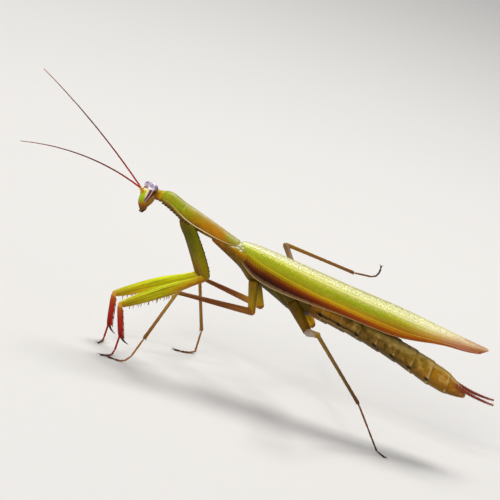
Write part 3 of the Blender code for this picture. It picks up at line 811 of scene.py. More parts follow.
def face_finish():
    """Green face with a bright brow, an amber cheek behind the eye and a brown rim at the mouth."""
    finish = Finish("face", 0.34)
    up, back, out = finish.stored("along"), finish.stored("rise"), finish.stored("across")
    clouds, dots = finish.noise(1500, 3.0), finish.noise(6500, 2.0)
    height = up + (clouds - 0.5) * 0.08
    front = finish.ramp(
        height,
        "0 5a3208, 0.1 80480a, 0.19 94640a, 0.24 8c8a0a, 0.34 92a806, 0.58 a8b80c, 0.66 c6cc3c, "
        "0.69 brow, 0.74 fff2cc, 0.78 7a5230, 0.85 a48c92, 1 b8a4b0"
    )
    nape = finish.ramp(height, "0 5a2c04, 0.25 96600a, 0.5 b0720a, 0.75 ac740a, 0.85 9c7a60, 1 a48c92")
    colour = finish.mix(finish.step(back, -0.35, 0.15), front, nape)
    seam = finish.line(finish.maths("ABSOLUTE", out), 0.62, 0.05) * finish.step(back, 0.0, -0.3)
    colour = finish.mix(seam * 0.3, colour, "5a5008")
    return finish.done(colour, 0.72 + clouds * 0.4 + dots * 0.2, dots + clouds, 0.02)


def make_eyes():
    finish = eye_finish()
    for name, side in SIDES.items():
        lean = rotation(-side * EYE_LEAN_OUT, "X") @ rotation(EYE_LEAN_BACK, "Y")
        eye = ball(f"{name}_eye", Vector(), (1, 1, 1), 72, 48)
        stored(eye, "inner", [-side * vert.co.y for vert in eye.data.vertices])
        for vert in eye.data.vertices:
            across, out, up = vert.co
            tall = up ** 0.8 * 0.93 if up > 0 else up * 1.13
            wide = 0.87 + (0.75 if up > 0 else 0.46) * up
            vert.co = (across * wide - 0.34 * max(0.0, up), out * (0.97 + 0.12 * up), tall)
        turned(eye, Matrix.Translation(mirrored(EYE_PLACE, side)) @ lean @ Matrix.Diagonal((*EYE_RADII, 1.0)))
        kept(placed(painted(eye, finish), head_matrix()), "eye", f"eye_{name}")


def eye_finish():
    """Lilac above with a painted highlight on top, dark stripes below with a thin cream line between them,
    and a brown rear edge.
    """
    finish = Finish("eye", 0.2, 0.5, 0.06)
    up, back = finish.stored("along"), finish.stored("rise")
    clouds = finish.noise(900, 3.0)
    height, depth = up + (clouds - 0.5) * 0.06, back + (clouds - 0.5) * 0.08
    crown = finish.ramp(
        depth * 0.5 + 0.5,
        "0 c8bac6, 0.16 baaac0, 0.34 eye_crown, 0.48 d4c8d6, 0.6 75627c, 0.7 9a889c, 0.8 74483c, "
        "1 5e3424"
    )
    swirl = finish.noise(1.0, 2.0, finish.vector(up * 7.0, back * 2.2))
    crown = finish.mix(finish.step(swirl, 0.48, 0.62) * 0.5, crown, "665470")
    # Painted highlight: the top of each eye is painted near white.
    crown = finish.mix(finish.step(height, 0.9, 0.98) * 0.7, crown, "ece6ee")
    stripes = finish.ramp(
        depth * 0.5 + 0.5,
        "0 f0dcc0, 0.1 e0c8ac, 0.2 5c241a, 0.38 eye_stripe, 0.43 c9948a, 0.49 c48f80, 0.54 eye_stripe, "
        "0.84 3c0a04, 0.92 8a5010, 1 a06c1c"
    )
    colour = finish.mix(finish.step(height - depth * 0.1, 0.62, 0.7), stripes, crown)
    brow = finish.line(height - depth * 0.1, 0.7, 0.07) * finish.step(depth, 0.5, -0.6)
    # Darker along the inner side of each eye, just below its top.
    inner_dark_line = finish.line(height, 0.83, 0.035) * finish.step(finish.stored("inner"), 0.1, 0.5)
    colour = finish.layered(
        colour,
        (brow * 0.85, "f4ece8"), (inner_dark_line * 0.8, "3c3046"),
    )
    facets = finish.cells(24000)
    return finish.done(colour, 0.85 + clouds * 0.3, 1.0 - facets, 0.003)


def make_ocelli():
    finish = Finish("ocelli", 0.15, 1.0, 0.05)
    spots = finish.noise(4000, 2.0)
    paint = finish.done(finish.mix(spots, "5a2c10", "8a4a1a"), 1.0, spots, 0.004)
    beads = [
        ball("bead", Vector(centre), (radius,) * 3)
        for *centre, radius in (
            (-1.38, 0.0, 0.98, 0.17), (-1.12, 0.34, 1.36, 0.16), (-1.12, -0.34, 1.36, 0.16)
        )
    ]
    kept(placed(painted(joined("ocelli", beads), paint), head_matrix()), "dark_brown")


def make_mouth():
    """Upper lip over a pair of dark jaws, with jointed feelers beside them."""
    lip = loft("lip", [Ring(at, front, back, -0.2, half, 0.0) for at, front, back, half in (
        (-3.3, -0.6, 0.1, 0.32), (-3.22, -0.8, 0.2, 0.5), (-2.95, -1.08, 0.3, 0.68),
        (-2.82, -1.2, 0.35, 0.76), (-2.78, -1.14, 0.35, 0.74), (-2.7, -1.32, 0.4, 0.86),
        (-2.45, -1.36, 0.4, 0.9), (-2.3, -1.2, 0.35, 0.7),
    )], sides=14, levels=2)
    parts = [painted(lip, shell("lip", [(1.0, "2a1206 6b3f0c 8a5c14"), (-1.0, "1c0a04 5a3810 7a5a18")]))]
    jaw = spine_finish("jaw", "3a1a0c", "0c0503", 0.3)
    palp = shell("palp", "a06c14 8a5010 3a1a0a", pits=0.008)
    for side in SIDES.values():
        tooth = loft("jaw", [
            oval(0.0, 0.42, 0.26), oval(0.35, 0.38, 0.26, -0.03), oval(0.7, 0.28, 0.2, -0.1, -side * 0.08),
            oval(0.95, 0.14, 0.1, -0.18, -side * 0.2),
        ], sides=8)
        spot = Matrix.Translation(Vector((-0.35, side * 0.42, -2.75)))
        parts.append(turned(painted(tooth, jaw), spot @ rotation(180, "X")))
        for route, thick in (
            (((-0.1, 0.6, -2.75), (-0.5, 0.85, -2.95), (-0.8, 0.8, -3.25), (-0.75, 0.6, -3.55)), 0.15),
            (((0.1, 0.35, -2.75), (0.0, 0.5, -3.1), (-0.25, 0.45, -3.35)), 0.12),
        ):
            points = [mirrored(Vector(point), side) for point in route]
            for start, end in zip(points, points[1:]):
                length = (end - start).length
                outline = ((-0.02, 0.5), (length * 0.2, 0.8), (length * 0.75, 1.0), (length * 1.04, 0.55))
                rings = [oval(at, thick * share, thick * share) for at, share in outline]
                joint = loft("palp", rings, sides=8)
                parts.append(turned(painted(joint, palp), upright(start, end)))
    finished("lip_and_jaws", parts, head_matrix(), "chestnut", "mouthparts")


def make_neck():
    """Soft collar of the head, in rings."""
    start, end = head_point(Vector((0.9, 0, 0.6))), Vector((-28.2, 0, 32.9))
    length = (end - start).length
    rings = []
    for share in spread(0, 1, 13):
        radius = 1.04 + 0.08 * math.cos(share * 6 * math.pi) + 0.3 * share
        rings.append(oval(length * share, radius * 0.9, radius))
    neck = painted(loft("neck_collar", rings, sides=14), shell("neck", [
        (1.0, "b0820a b4980a a4a408"), (0.2, "a06408 b07a0a a88a06"), (-0.8, "5a2c06 6a3c06 6a4806"),
    ]))
    kept(placed(neck, upright(start, end)), "amber", "neck")


def feeler_points(name):
    """The stout base and then the thread, which bends as it goes."""
    side = SIDES[name]
    heading, low, high = FEELER_AIMS[name]
    base = head_point(mirrored(SCAPE_BASE, side))
    aim = direction(side, heading, low + 15)
    points = [base + aim * (SCAPE_LENGTH * i / 6) for i in range(7)]
    for i in range(FEELER_STEPS):
        rise = low + (high - low) * (i + 0.5) / FEELER_STEPS
        points.append(points[-1] + direction(side, heading, rise) * (FEELER_LENGTH / FEELER_STEPS))
    return points


def make_feelers():
    """A stout base and a long thread of tiny joints, red near the head and pale at the tip."""
    finish = Finish("feeler", 0.42)
    along = finish.stored("along")
    fine = finish.noise(5000, 2.0)
    colour = finish.ramp(
        along,
        "0 b8861a, 0.034 c08a1c, 0.045 feeler_base, 0.15 961c10, 0.3 72221a, 0.55 5c2c1e, 0.8 7a4c38, "
        "1 feeler_tip"
    )
    rings = finish.maths("SINE", along * 700.0) * 0.5 + 0.5
    paint = finish.done(colour, 0.8 + rings * 0.25 + fine * 0.2, rings + fine * 0.5, 0.012)
    radii = [0.2, 0.27, 0.28, 0.28, 0.27, 0.25, 0.2]
    for i in range(FEELER_STEPS):
        taper = 1 - i / (FEELER_STEPS - 1) / 2
        radii.append(form("feeler_thickness") / 2 * taper * (1.08 if i % 2 else 0.96))
    for name in SIDES:
        feeler = thread(f"feeler_{name}", feeler_points(name), radii)
        kept(placed(painted(feeler, paint)), "chestnut", f"antenna_{name}")


# Body


def body_rings(sections, count, belly=BELLY):
    rings = []
    for x in spread(sections[0].x, sections[-1].x, count):
        s = blended(sections, x)
        widest = s.bottom + (s.top - s.bottom) * belly
        rings.append(Ring(x, s.bottom, s.top, widest, s.half, 0.0))
    return rings


def closed(rings):
    """The rings with a small one before and after them, so that the ends are rounded off."""
    first, last = grown(rings[0], END_SHARE), grown(rings[-1], END_SHARE)
    return [first._replace(at=first.at - END_REACH), *rings, last._replace(at=last.at + END_REACH)]


def tucked(rings, reach, share):
    """The rings with their first one moved forward, to go into the part ahead."""
    first, second = rings[:2]
    low = first.widest - (second.widest - second.low) * share
    high = first.widest + (second.high - second.widest) * share
    return [Ring(first.at - reach, low, high, first.widest, second.half * share, 0.0), *rings[1:]]


def section_point(sections, x, turn, belly, out=1.0):
    """A point of the body's skin: 0 degrees is the back, 90 the left side and -90 the right."""
    s = blended(sections, x)
    deep = s.top - s.bottom
    middle = s.bottom + deep * belly
    angle = math.radians(turn)
    up = deep * (1 - belly) if math.cos(angle) > 0 else deep * belly
    return Vector((x, -s.half * out * math.sin(angle), middle + up * out * math.cos(angle)))


def rim_reach(x):
    """How far out the rim stands: a little more over the roots of the fore legs."""
    return 1.01 + 0.1 * eased(-25.0, -23.2, x) * (1 - eased(-20.8, -19.0, x))


def rim_turn(x):
    """How far down the side the rim runs: it stands higher toward the head."""
    return 92 - 16 * (1 - eased(-28.0, -20.0, x))


def make_pronotum():
    """Long shield with a raised rim, a low keel, a groove behind the fore legs and teeth in front."""
    shield = loft("pronotum", closed(body_rings(PROTHORAX, 26, PROTHORAX_BELLY)), sides=20, levels=2)
    placed(painted(shield, pronotum_finish()), along_body())
    rim = shell("rim", "a89438 c4ac6c dcc898 d8c088 c8a860 b8a870", mottle=0.2)
    count = 60
    radii = [0.04 + 0.06 * math.sin(math.pi * i / (count - 1)) ** 0.5 for i in range(count)]
    trim, places = [], []
    for side in SIDES.values():
        points = [
            section_point(PROTHORAX, x, -side * rim_turn(x), PROTHORAX_BELLY, rim_reach(x))
            for x in spread(-28.6, -11.8, count)
        ]
        trim.append(painted(thread("rim", points, radii), rim))
        for i, x in enumerate(spread(-28.2, -21.5, 11)):
            base = section_point(PROTHORAX, x, -side * 110, PROTHORAX_BELLY, 0.98)
            length = form("rim_tooth_length") * (1.0 if i % 3 else 1.3)
            places.append((base, Vector((-0.15, side * 0.5, -0.8)), Vector((-1, 0, 0)), length, 1.7))
    sunk = Vector((0, 0, 0.02))
    points = [section_point(PROTHORAX, x, 0, PROTHORAX_BELLY) - sunk for x in spread(-23.5, -12.0, 40)]
    trim.append(painted(thread("keel", points, [0.08] * len(points)), rim))
    trim.append(painted(thorns("teeth", places), spine_finish("rim_tooth", "5a3208", "140804", 0.3)))
    border = placed(joined("pronotum_rim", trim))
    kept(shield, "leaf_green", "prothorax")
    kept(border, "leaf_green")


def pronotum_finish():
    finish = Finish("pronotum", 0.36, specular=0.18)
    along, rise = finish.stored("along"), finish.stored("rise")
    clouds, dots = finish.noise(1100, 3.0), finish.noise(6000, 2.0)
    wander = (clouds - 0.5) * 0.14
    at = finish.clamped(along + wander * 0.5)
    # The top band is paler and greyer than the band below it: partly a painted reflection along the top edge.
    colour = finish.bands(rise + wander, at, [
        (1.0, "0 979a30, 0.25 9b983e, 0.45 a99b62, 0.65 ad9869, 0.8 a28d50, 1 a69f62"),
        (0.82, "0 949a18, 0.2 8d8f15, 0.34 9a931c, 0.45 a18b26, 0.6 a98226, 0.78 a97d20, 0.86 939333, "
               "1 9e964a"),
        (0.5, "0 8f9202, 0.3 869002, 0.38 948602, 0.48 a87c02, 0.62 b07402, 0.78 b47006, 0.87 8c8414, "
              "1 a09838"),
        (0.16, "0 7d6814, 0.3 7b7003, 0.45 8c6001, 0.75 a46804, 0.88 8a6615, 1 98823a"),
        (0.0, "0 7d6020, 0.25 6e4c0a, 0.5 6f430c, 0.8 8a4d08, 1 9a7a30"),
        (-0.6, "0 6a5410, 0.5 6a4a14, 1 6e5a18"),
    ])
    groove = finish.line(along + (1.0 - rise) * 0.03 + wander * 0.03, 0.305, 0.006)
    fringe = finish.step(rise + wander * 0.4, 0.1, -0.05) * finish.step(along, 0.42, 0.3)
    veins = finish.noise(1.0, 3.0, finish.vector(along * 16.0, rise * 5.0, finish.stored("across") * 5.0))
    amber = finish.step(veins, 0.52, 0.68) * finish.step(rise, 0.75, 0.4) * finish.step(along, 0.5, 0.3)
    moss = finish.step(veins, 0.5, 0.38) * finish.step(rise, 0.9, 0.6) * finish.step(along, 0.45, 0.3)
    colour = finish.layered(
        colour,
        (groove * finish.step(rise, 0.4, 0.6) * 0.5, "d8d080"), (fringe * 0.85, "5a3a06"),
        (amber * 0.6, "a87404"), (moss * 0.5, "6c7e02"),
    )
    warts = 1.0 - finish.step(finish.cells(2600), 0.15, 0.5)
    shade = 0.62 + clouds * 0.4 + dots * 0.16 + warts * 0.08 + veins * 0.18
    height = warts * 0.6 + dots * 0.5 + clouds - groove * 1.5
    return finish.done(colour, shade, height, 0.035, 0.3 + dots * 0.2)


def make_thorax():
    """Middle and rear thorax, with the folds of their sides and the hinges of the wings."""
    rear = loft("rear_flank", tucked(closed(body_rings(METATHORAX, 12)), 0.9, 0.94), sides=18, levels=2)
    front = loft("front_flank", closed(body_rings(MESOTHORAX, 16)), sides=18, levels=2)
    painted(front, shell("front_flank", [
        (0.97, "0 8c8a40, 0.35 b4b478, 0.6 c8c898, 1 a8a460"),
        (0.5, "0 a8602a, 0.35 a88a20, 0.6 989008, 1 9a8808"),
        (0.2, "0 8a4a08, 0.4 8a5802, 1 8a6008"),
        (-0.2, "0 6a3c08, 0.4 6a4606, 1 5e4a08"),
        (-0.8, "0 5a3c06, 0.5 5c4206, 1 4c3c08"),
    ], mottle=0.9, speckle=0.7, pits=0.05, grain=2400))
    painted(rear, shell("rear_flank", [
        (1.0, "8a8020 8a7820 a08828"), (0.2, "7a6010 6a5208 7c5a0c"),
        (-0.3, "4c4408 4c3c08 54400a"), (-1.0, "443808 443408 3c2c08"),
    ], mottle=0.6, speckle=0.4, pits=0.04, grain=2600))
    placed(front, along_body())
    placed(rear, along_body())
    trim = []
    ridge = shell("flank_ridge", "604a0e 64500e 5c430c")
    shares = spread(0, 1, 16)
    for sections, start, end, (high, low) in (
        (MESOTHORAX, -14.6, -11.6, (64, 106)), (MESOTHORAX, -12.6, -9.4, (104, 128)),
        (MESOTHORAX, -10.4, -7.0, (116, 140)), (METATHORAX, -3.2, 0.2, (112, 142)),
        (METATHORAX, -0.4, 2.6, (112, 140)), (METATHORAX, 2.2, 5.2, (110, 138)),
    ):
        for side in SIDES.values():
            points = [
                section_point(sections, start + (end - start) * t, -side * (high + (low - high) * t), BELLY)
                for t in shares
            ]
            fold = thread("fold", points, [0.05 + 0.12 * math.sin(math.pi * t) for t in shares])
            trim.append(painted(fold, ridge))
    knobs = shell("hinge", "b0ae88 d4d2b4 b8b488", mottle=1.4, speckle=1.5, grain=5200)
    for x, turn, radii in (
        (-12.0, 22, (0.62, 0.36, 0.2)), (-11.4, 38, (0.46, 0.34, 0.2)), (-10.9, 28, (0.5, 0.28, 0.2)),
        (-11.5, 54, (0.5, 0.22, 0.2)), (-10.5, 44, (0.36, 0.2, 0.24)), (-12.6, 40, (0.5, 0.3, 0.16)),
        (-12.4, 60, (0.44, 0.2, 0.16)), (-10.7, 62, (0.34, 0.18, 0.22)), (-13.2, 52, (0.4, 0.2, 0.14)),
    ):
        for side in SIDES.values():
            spot = section_point(MESOTHORAX, x, -side * turn, BELLY)
            trim.append(painted(ball("hinge", spot, radii, 16, 10), knobs))
    folds = placed(joined("flank_folds", trim))
    kept(front, "olive", "mesothorax")
    kept(rear, "olive", "metathorax")
    kept(folds, "olive")


def make_abdomen():
    """Overlapping segments, each swelling to its rear edge."""
    start, end = ABDOMEN[0].x, ABDOMEN[-1].x
    length = (end - start) / ABDOMEN_SEGMENTS
    rings = []
    for i in range(ABDOMEN_SEGMENTS):
        for share, swell in SEGMENT_SWELL:
            s = blended(ABDOMEN, start + length * (i + share))
            widest = (s.top + s.bottom) / 2
            deep = (s.top - s.bottom) / 2 * swell
            rings.append(Ring(s.x, widest - deep, widest + deep, widest, s.half * swell, 0.0))
    abdomen = loft("abdomen_rings", tucked(closed(rings), 1.4, 0.95), sides=20)
    applied(abdomen, "SUBSURF", levels=1, render_levels=1)
    placed(painted(abdomen, abdomen_finish()), along_body())
    kept(abdomen, "olive", "abdomen", angle=60)


def abdomen_finish():
    finish = Finish("abdomen", 0.36)
    along, rise = finish.stored("along"), finish.stored("rise")
    clouds, dots, blots = finish.noise(700, 4.0), finish.noise(4200, 2.0), finish.noise(1700, 3.0)
    wander = (clouds - 0.5) * 0.2
    at = finish.clamped(along + wander * 0.2)
    colour = finish.bands(rise + wander, at, [
        (0.9, "0 a88604, 0.3 a07a20, 0.6 94824a, 0.85 a07a20, 1 7a5030"),
        (0.6, "0 a08010, 0.2 8a6820, 0.5 806c30, 0.7 7c6018, 0.85 946204, 1 6a402a"),
        (0.2, "0 8a5c10, 0.25 674a12, 0.5 614610, 0.7 705410, 0.86 8f5e02, 1 6a3a1c"),
        (-0.1, "0 855808, 0.3 694c14, 0.5 6c4e16, 0.75 7c5212, 0.9 7a4c02, 1 7a4c20"),
        (-0.5, "0 6a4208, 0.3 56400c, 0.6 50390c, 0.8 6a4a04, 1 643c08"),
    ])
    in_front = finish.step(along, 0.05, 0.1) * finish.step(along, 0.34, 0.24)
    streak = finish.line(rise + (blots - 0.5) * 0.1, -0.42, 0.09) * in_front
    gilt = finish.line(rise + (blots - 0.5) * 0.3, 0.1, 0.35) * finish.step(along, 0.3, 0.05)
    pale = finish.line(rise + (blots - 0.5) * 0.06, -0.6, 0.07) * in_front
    stage = finish.maths("FRACT", along * float(ABDOMEN_SEGMENTS) + 0.02)
    wavy = stage + (blots - 0.5) * 0.1
    border = finish.line(wavy, 0.95, 0.07) * finish.step(clouds, 0.4, 0.6)
    crease = finish.line(wavy, 0.05, 0.05) * finish.step(dots, 0.4, 0.55)
    soft = finish.noise(620, 3.0)
    pool = finish.step(soft, 0.5, 0.64) * finish.step(along, 0.12, 0.3) * finish.step(along, 0.82, 0.6)
    window = finish.step(soft, 0.48, 0.34) * finish.step(along, 0.08, 0.22) * finish.step(rise, -0.4, 0.1)
    mark = finish.line(stage + rise * 0.2, 0.82, 0.2) * finish.line(rise, -0.44, 0.2)
    ticks = finish.step(finish.maths("SINE", along * 900.0), 0.35, 0.8) * finish.line(rise, 0.86, 0.12)
    colour = finish.layered(
        colour,
        (streak * 0.85, "150a04"), (gilt * 0.55, "b47804"), (pale * 0.4, "a48c54"),
        (border * 0.5, "a8945c"), (crease * 0.3, "2a1806"), (pool * 0.7, "2e260a"),
        (window * 0.45, "a88c50"), (mark * finish.step(along, 0.86, 0.8) * 0.95, "120803"),
        (ticks * finish.step(along, 0.7, 0.8) * 0.6, "d8c494"),
    )
    lit = 1.0 + finish.step(along, 0.55, 0.8) * 0.25
    shade = (0.56 + clouds * 0.42 + blots * 0.4 + dots * 0.2) * lit
    return finish.done(colour, shade, dots * 0.6 + blots + clouds, 0.05)


def make_cerci():
    finish = Finish("cercus", 0.4, 0.2)
    along = finish.stored("along")
    dots = finish.noise(4200, 2.0)
    rings = finish.maths("SINE", along * 82.0) * 0.5 + 0.5
    colour = finish.ramp(along, "0 7a4418, 0.25 743018, 0.7 6c281c, 1 8c4434")
    paint = finish.done(colour, 0.7 + rings * 0.5 + dots * 0.2, dots, 0.01)
    steps = CERCUS_JOINTS * 6
    for name, side in SIDES.items():
        points = [mirrored(CERCUS_BASE, side)]
        for i in range(steps):
            t = (i + 0.5) / steps
            points.append(points[-1] + direction(side, 176 - 4 * t, -17 + 18 * t) * (CERCUS_LENGTH / steps))
        radii = [
            (0.42 - 0.24 * t) * (1 + 0.1 * math.sin(t * CERCUS_JOINTS * 2 * math.pi))
            for t in spread(0, 1, steps + 1)
        ]
        hairs = []
        for i in range(4, steps, 3):
            ahead = (points[i + 1] - points[i]).normalized()
            for k in range(4):
                angle = math.radians(90 * k + 40 * i)
                out = Vector((0, math.cos(angle), math.sin(angle)))
                root = points[i] + out * radii[i] * 0.8
                hairs.append((root, out + ahead * 0.9, ahead, form("hair_length"), 0.12))
        cercus = joined(f"{name}_cercus", [thread("cercus", points, radii, 3), thorns("hairs", hairs)])
        kept(placed(painted(cercus, paint)), "dark_brown", f"cercus_{name}")


# Wings

# The left forewing lies over the right one: how far each passes the middle, in degrees of the roof.
OVERLAP = math.degrees(math.asin(0.45))
# The share of a vein's radius by which it lies in the wing.
VEIN_SINK = 0.3
SLANT_VEINS, HINDWING_VEINS = 104, 9


def right_dip(x, turn):
    """How far the right forewing dips to pass under the left one. It dips less at the tip."""
    return 0.65 * (1 - eased(45, 75, turn)) * (1 - 0.75 * eased(33.0, 40.0, x))


def roof_point(roof, side, x, turn, dip, out=0.0):
    """A point of the wing roof, turn degrees from its ridge on this side, raised outward by out."""
    s = blended(roof, x)
    angle = math.radians(turn)
    lift = dip(x, turn) if dip else 0.0
    return Vector((
        x,
        side * (s.half + out) * math.sin(angle),
        s.bottom + (s.top - s.bottom + out) * math.cos(angle) - lift,
    ))


def wing_x(roof, share, turn):
    """Distance along X of a share of the wing. The tip is rounded back toward the margin."""
    start, end = roof[0].x, roof[-1].x
    length = end - start
    back = length * (0.03 * (max(0.0, turn) / 90) ** 3 + 0.012 * (1 - eased(-20, 25, turn)))
    return start + (length - back) * share


def radius_turn(share):
    """Where the great vein runs, in degrees from the ridge."""
    return 52 + 20 * eased(-0.1, 0.55, share) + 9 * eased(0.55, 1.0, share)


def wing_sheet(name, roof, side, turns, counts, dip=None):
    """A folded wing: a grid laid over the roof, then given its thickness."""
    piece = added(
        name, bpy.ops.mesh.primitive_grid_add, x_subdivisions=counts[0], y_subdivisions=counts[1], size=2.0
    )
    along, turn_at, field = [], [], []
    for vert in piece.data.vertices:
        share, out = (vert.co.x + 1) / 2, (vert.co.y + 1) / 2
        turn = turns[0] + (turns[1] - turns[0]) * out
        vert.co = roof_point(roof, side, wing_x(roof, share, turn), turn, dip)
        vein = radius_turn(share)
        along.append(share)
        turn_at.append(turn / 90)
        field.append((turn - vein) / (90 - vein) if turn > vein else (turn - vein) / vein)
    stored(piece, "along", along)
    stored(piece, "rise", turn_at)
    stored(piece, "across", field)
    editing(piece)
    bpy.ops.mesh.select_all(action="SELECT")
    middle = piece.data.polygons[len(piece.data.polygons) // 2]
    if middle.normal.z < 0:
        bpy.ops.mesh.flip_normals()
    return applied(piece, "SOLIDIFY", thickness=form("wing_thickness"), offset=-1.0)


def vein(roof, side, start, end, turn_of, radius, dip=None):
    """A raised vein over the wing, thinning to its tip."""
    points, radii = [], []
    for share in spread(start, end, 90):
        turn = turn_of(share)
        points.append(roof_point(roof, side, wing_x(roof, share, turn), turn, dip, -radius * VEIN_SINK))
        done = (share - start) / (end - start)
        radii.append(radius * (1 - 0.55 * done) * (0.1 + 0.9 * eased(0.0, 0.06, done)))
    tube = thread("vein", points, radii, 1)
    stored(tube, "along", np.interp(points_of(tube)[:, 0], [roof[0].x, roof[-1].x], [0, 1]))
    return tube


def make_forewings():
    """Leathery fore wings with raised veins, and short slanting veins in the field along the edge."""
    sheet_paint = wing_finish()
    pale = vein_finish("vein_pale", "b4b018", "bcae2c", "d8a888")
    gold = vein_finish("vein_gold", "989a0c", "a0940c", "c08048")
    edge = vein_finish("wing_edge", "a08c64", "a88458", "c07858")
    slant_paint = vein_finish("slant", "4a1c04", "6c2c04", "a8602c")
    for name, side in SIDES.items():
        dip = right_dip if side == RIGHT else None
        wing = wing_sheet(f"{name}_forewing", WING_ROOF, side, (-OVERLAP, 90), (240, 64), dip)
        painted(wing, sheet_paint)
        parts = [wing]
        for start, end, turn_of, radius, paint in (
            (0.01, 0.985, radius_turn, DRAWN_VEIN, pale),
            (0.0, 0.99, lambda s: 89.5, 0.1, edge),
            (0.04, 0.7, lambda s: radius_turn(s) + 5 + 3 * s, 0.06, gold),
            (0.03, 0.96, lambda s: radius_turn(s) - 8 - 3 * s, 0.06, gold),
            (0.0, 0.94, lambda s: 36 + 14 * s, 0.08, pale),
            (0.0, 0.9, lambda s: 27 + 14 * s, 0.05, pale),
            (0.0, 0.8, lambda s: 14 + 14 * s, 0.05, pale),
            (0.0, 0.6, lambda s: -4 + 18 * s, 0.05, pale),
        ):
            height = radius * form("vein_height") / DRAWN_VEIN
            parts.append(painted(vein(WING_ROOF, side, start, end, turn_of, height, dip), paint))
        for i in range(SLANT_VEINS):
            share = 0.02 + 0.76 * i / (SLANT_VEINS - 1)
            low = radius_turn(share) + 4 + 3 * share
            points = []
            for t in spread(0, 1, 5):
                turn = low + (89 - low) * t
                x = wing_x(WING_ROOF, share + 0.018 * t, turn)
                points.append(roof_point(WING_ROOF, side, x, turn, dip, -0.01))
            slant = thread("slant", points, [0.045] * len(points), 1)
            stored(slant, "along", [share] * len(slant.data.vertices))
            parts.append(painted(slant, slant_paint))
        finished(f"{name}_forewing", parts, Matrix.Identity(4), "wing_green", f"forewing_{name}")


def vein_finish(name, front, middle, tip):
    finish = Finish(name, 0.3, 0.1)
    dots = finish.noise(4200, 2.0)
    colour = finish.ramp(finish.stored("along"), f"0 {front}, 0.45 {middle}, 0.72 {middle}, 0.95 {tip}")
    return finish.done(colour, 0.8 + dots * 0.4, dots, 0.01)


def wing_finish():
    """Yellow green over the back under a painted highlight along the ridge, golden under the great vein, and
    dark to rusty along the edge.
    """
    finish = Finish("wing", 0.32, specular=0.12)
    along, turn, field = finish.stored("along"), finish.stored("rise"), finish.stored("across")
    lengthwise = finish.vector(along * 53.0, turn * 6.0)
    clouds, dots = finish.noise(900, 3.0), finish.noise(5200, 2.0)
    patches = finish.noise(1.1, 3.0, lengthwise)
    wander = (clouds - 0.5) * 0.16 * finish.step(along, 0.0, 0.1)
    at = finish.clamped(along + (clouds - 0.5) * 0.04)
    # Painted highlight: the bands from the ridge down to about -0.5 are painted pale, near white at -0.68.
    colour = finish.bands(field + wander, at, [
        (-0.92, "0 bcb490, 0.3 b0a66c, 0.5 a39a60, 0.62 a89f64, 0.78 d4c890, 0.88 e8cca4, 1 cc8070"),
        (-0.68, "0 f6f4dc, 0.16 ecead0, 0.3 e6e3a8, 0.6 dfdfa0, 0.78 ece8b8, 0.88 ecccac, 1 cc8070"),
        (-0.5, "0 eaf0a4, 0.15 e6e868, 0.4 eeec90, 0.62 f2f2a8, 0.78 f2e8bc, 0.88 dcb098, 1 c47060"),
        (-0.34, "0 bccc38, 0.12 98a202, 0.3 b0b206, 0.46 9cac0a, 0.57 9cac0c, 0.67 b4b81c, 0.78 dcc684, "
                "0.88 d09478, 1 b85c4c"),
        (-0.18, "0 94a404, 0.2 949602, 0.4 8a9004, 0.57 8c8e04, 0.68 a07e04, 0.8 c49040, 0.88 c48068, "
                "1 b04c3c"),
        (-0.05, "0 a09c10, 0.2 908402, 0.4 a08a06, 0.57 a47406, 0.68 985e04, 0.8 b07020, 0.9 b46850, "
                "1 a44030"),
        (0.08, "0 ac9408, 0.08 a48804, 0.2 a88404, 0.35 c09408, 0.5 bc8604, 0.7 a45c04, 0.8 a85e1c, "
               "0.9 a4583c, 1 983c2c"),
        (0.28, "0 a48a06, 0.07 9c7404, 0.14 7e4403, 0.3 a45c04, 0.5 c07c08, 0.7 b06404, 0.82 a0560c, "
               "0.92 9c4c34, 1 903c2c"),
        (0.52, "0 90600a, 0.06 6e3004, 0.13 3e1202, 0.3 702404, 0.45 984406, 0.62 a04e04, 0.8 a05208, "
               "0.92 96502c, 1 985848"),
        (0.72, "0 6a3c0a, 0.05 2c0a02, 0.13 0c0100, 0.3 340802, 0.45 803004, 0.62 904004, 0.8 9c5004, "
               "0.92 8c5020, 1 905840"),
        (0.93, "0 604030, 0.2 7c6440, 0.35 805c34, 0.5 7c4418, 0.7 8c5420, 0.85 905a10, 1 a07040"),
    ])
    net = finish.cells(1.0, finish.vector(along * 150.0, turn * 22.0), "DISTANCE_TO_EDGE")
    threads = 1.0 - finish.step(net, 0.03, 0.16)
    on_back = finish.step(field, 0.0, -0.12)
    # Painted highlight: the zone along the ridge where the flecks of the highlight are painted.
    ridge_highlight = finish.step(field + finish.step(along, 0.34, 0.12) * 0.12, -0.26, -0.42)
    flecks = finish.noise(1.0, 3.0, finish.vector(along * 125.0, turn * 34.0))
    glints = finish.step(flecks, 0.54, 0.62) * finish.line(field, -0.42, 0.16)
    gold = finish.step(flecks, 0.47, 0.38) * finish.line(field, -0.34, 0.24)
    fibres = finish.noise(1.0, 2.0, finish.vector(along * 9.0, turn * 16.0))
    rust = finish.step(fibres, 0.5, 0.6) * finish.step(along, 0.84, 0.93)
    # Painted highlight: near-white and olive flecks over the ridge zone, and painted glints in pale yellow
    # just below it.
    colour = finish.layered(
        colour,
        (threads * on_back * 0.16, "dce060"), (finish.step(flecks, 0.5, 0.58) * ridge_highlight * 0.8, "b4b040"),
        (finish.step(flecks, 0.46, 0.38) * ridge_highlight * 0.7, "fffff0"),
        (finish.step(patches, 0.52, 0.75) * on_back * (1.0 - ridge_highlight) * 0.4, "88960a"),
        (glints * 0.7, "f0e880"), (gold * 0.6, "a88404"), (rust * 0.6, "a04c3c"),
    )
    shade = 0.76 + clouds * 0.26 + dots * 0.22
    height = threads * 0.7 + dots * 0.5 + flecks * 1.4 + clouds * 0.5
    return finish.done(colour, shade, height, 0.04, 0.26 + dots * 0.25 - threads * 0.06)


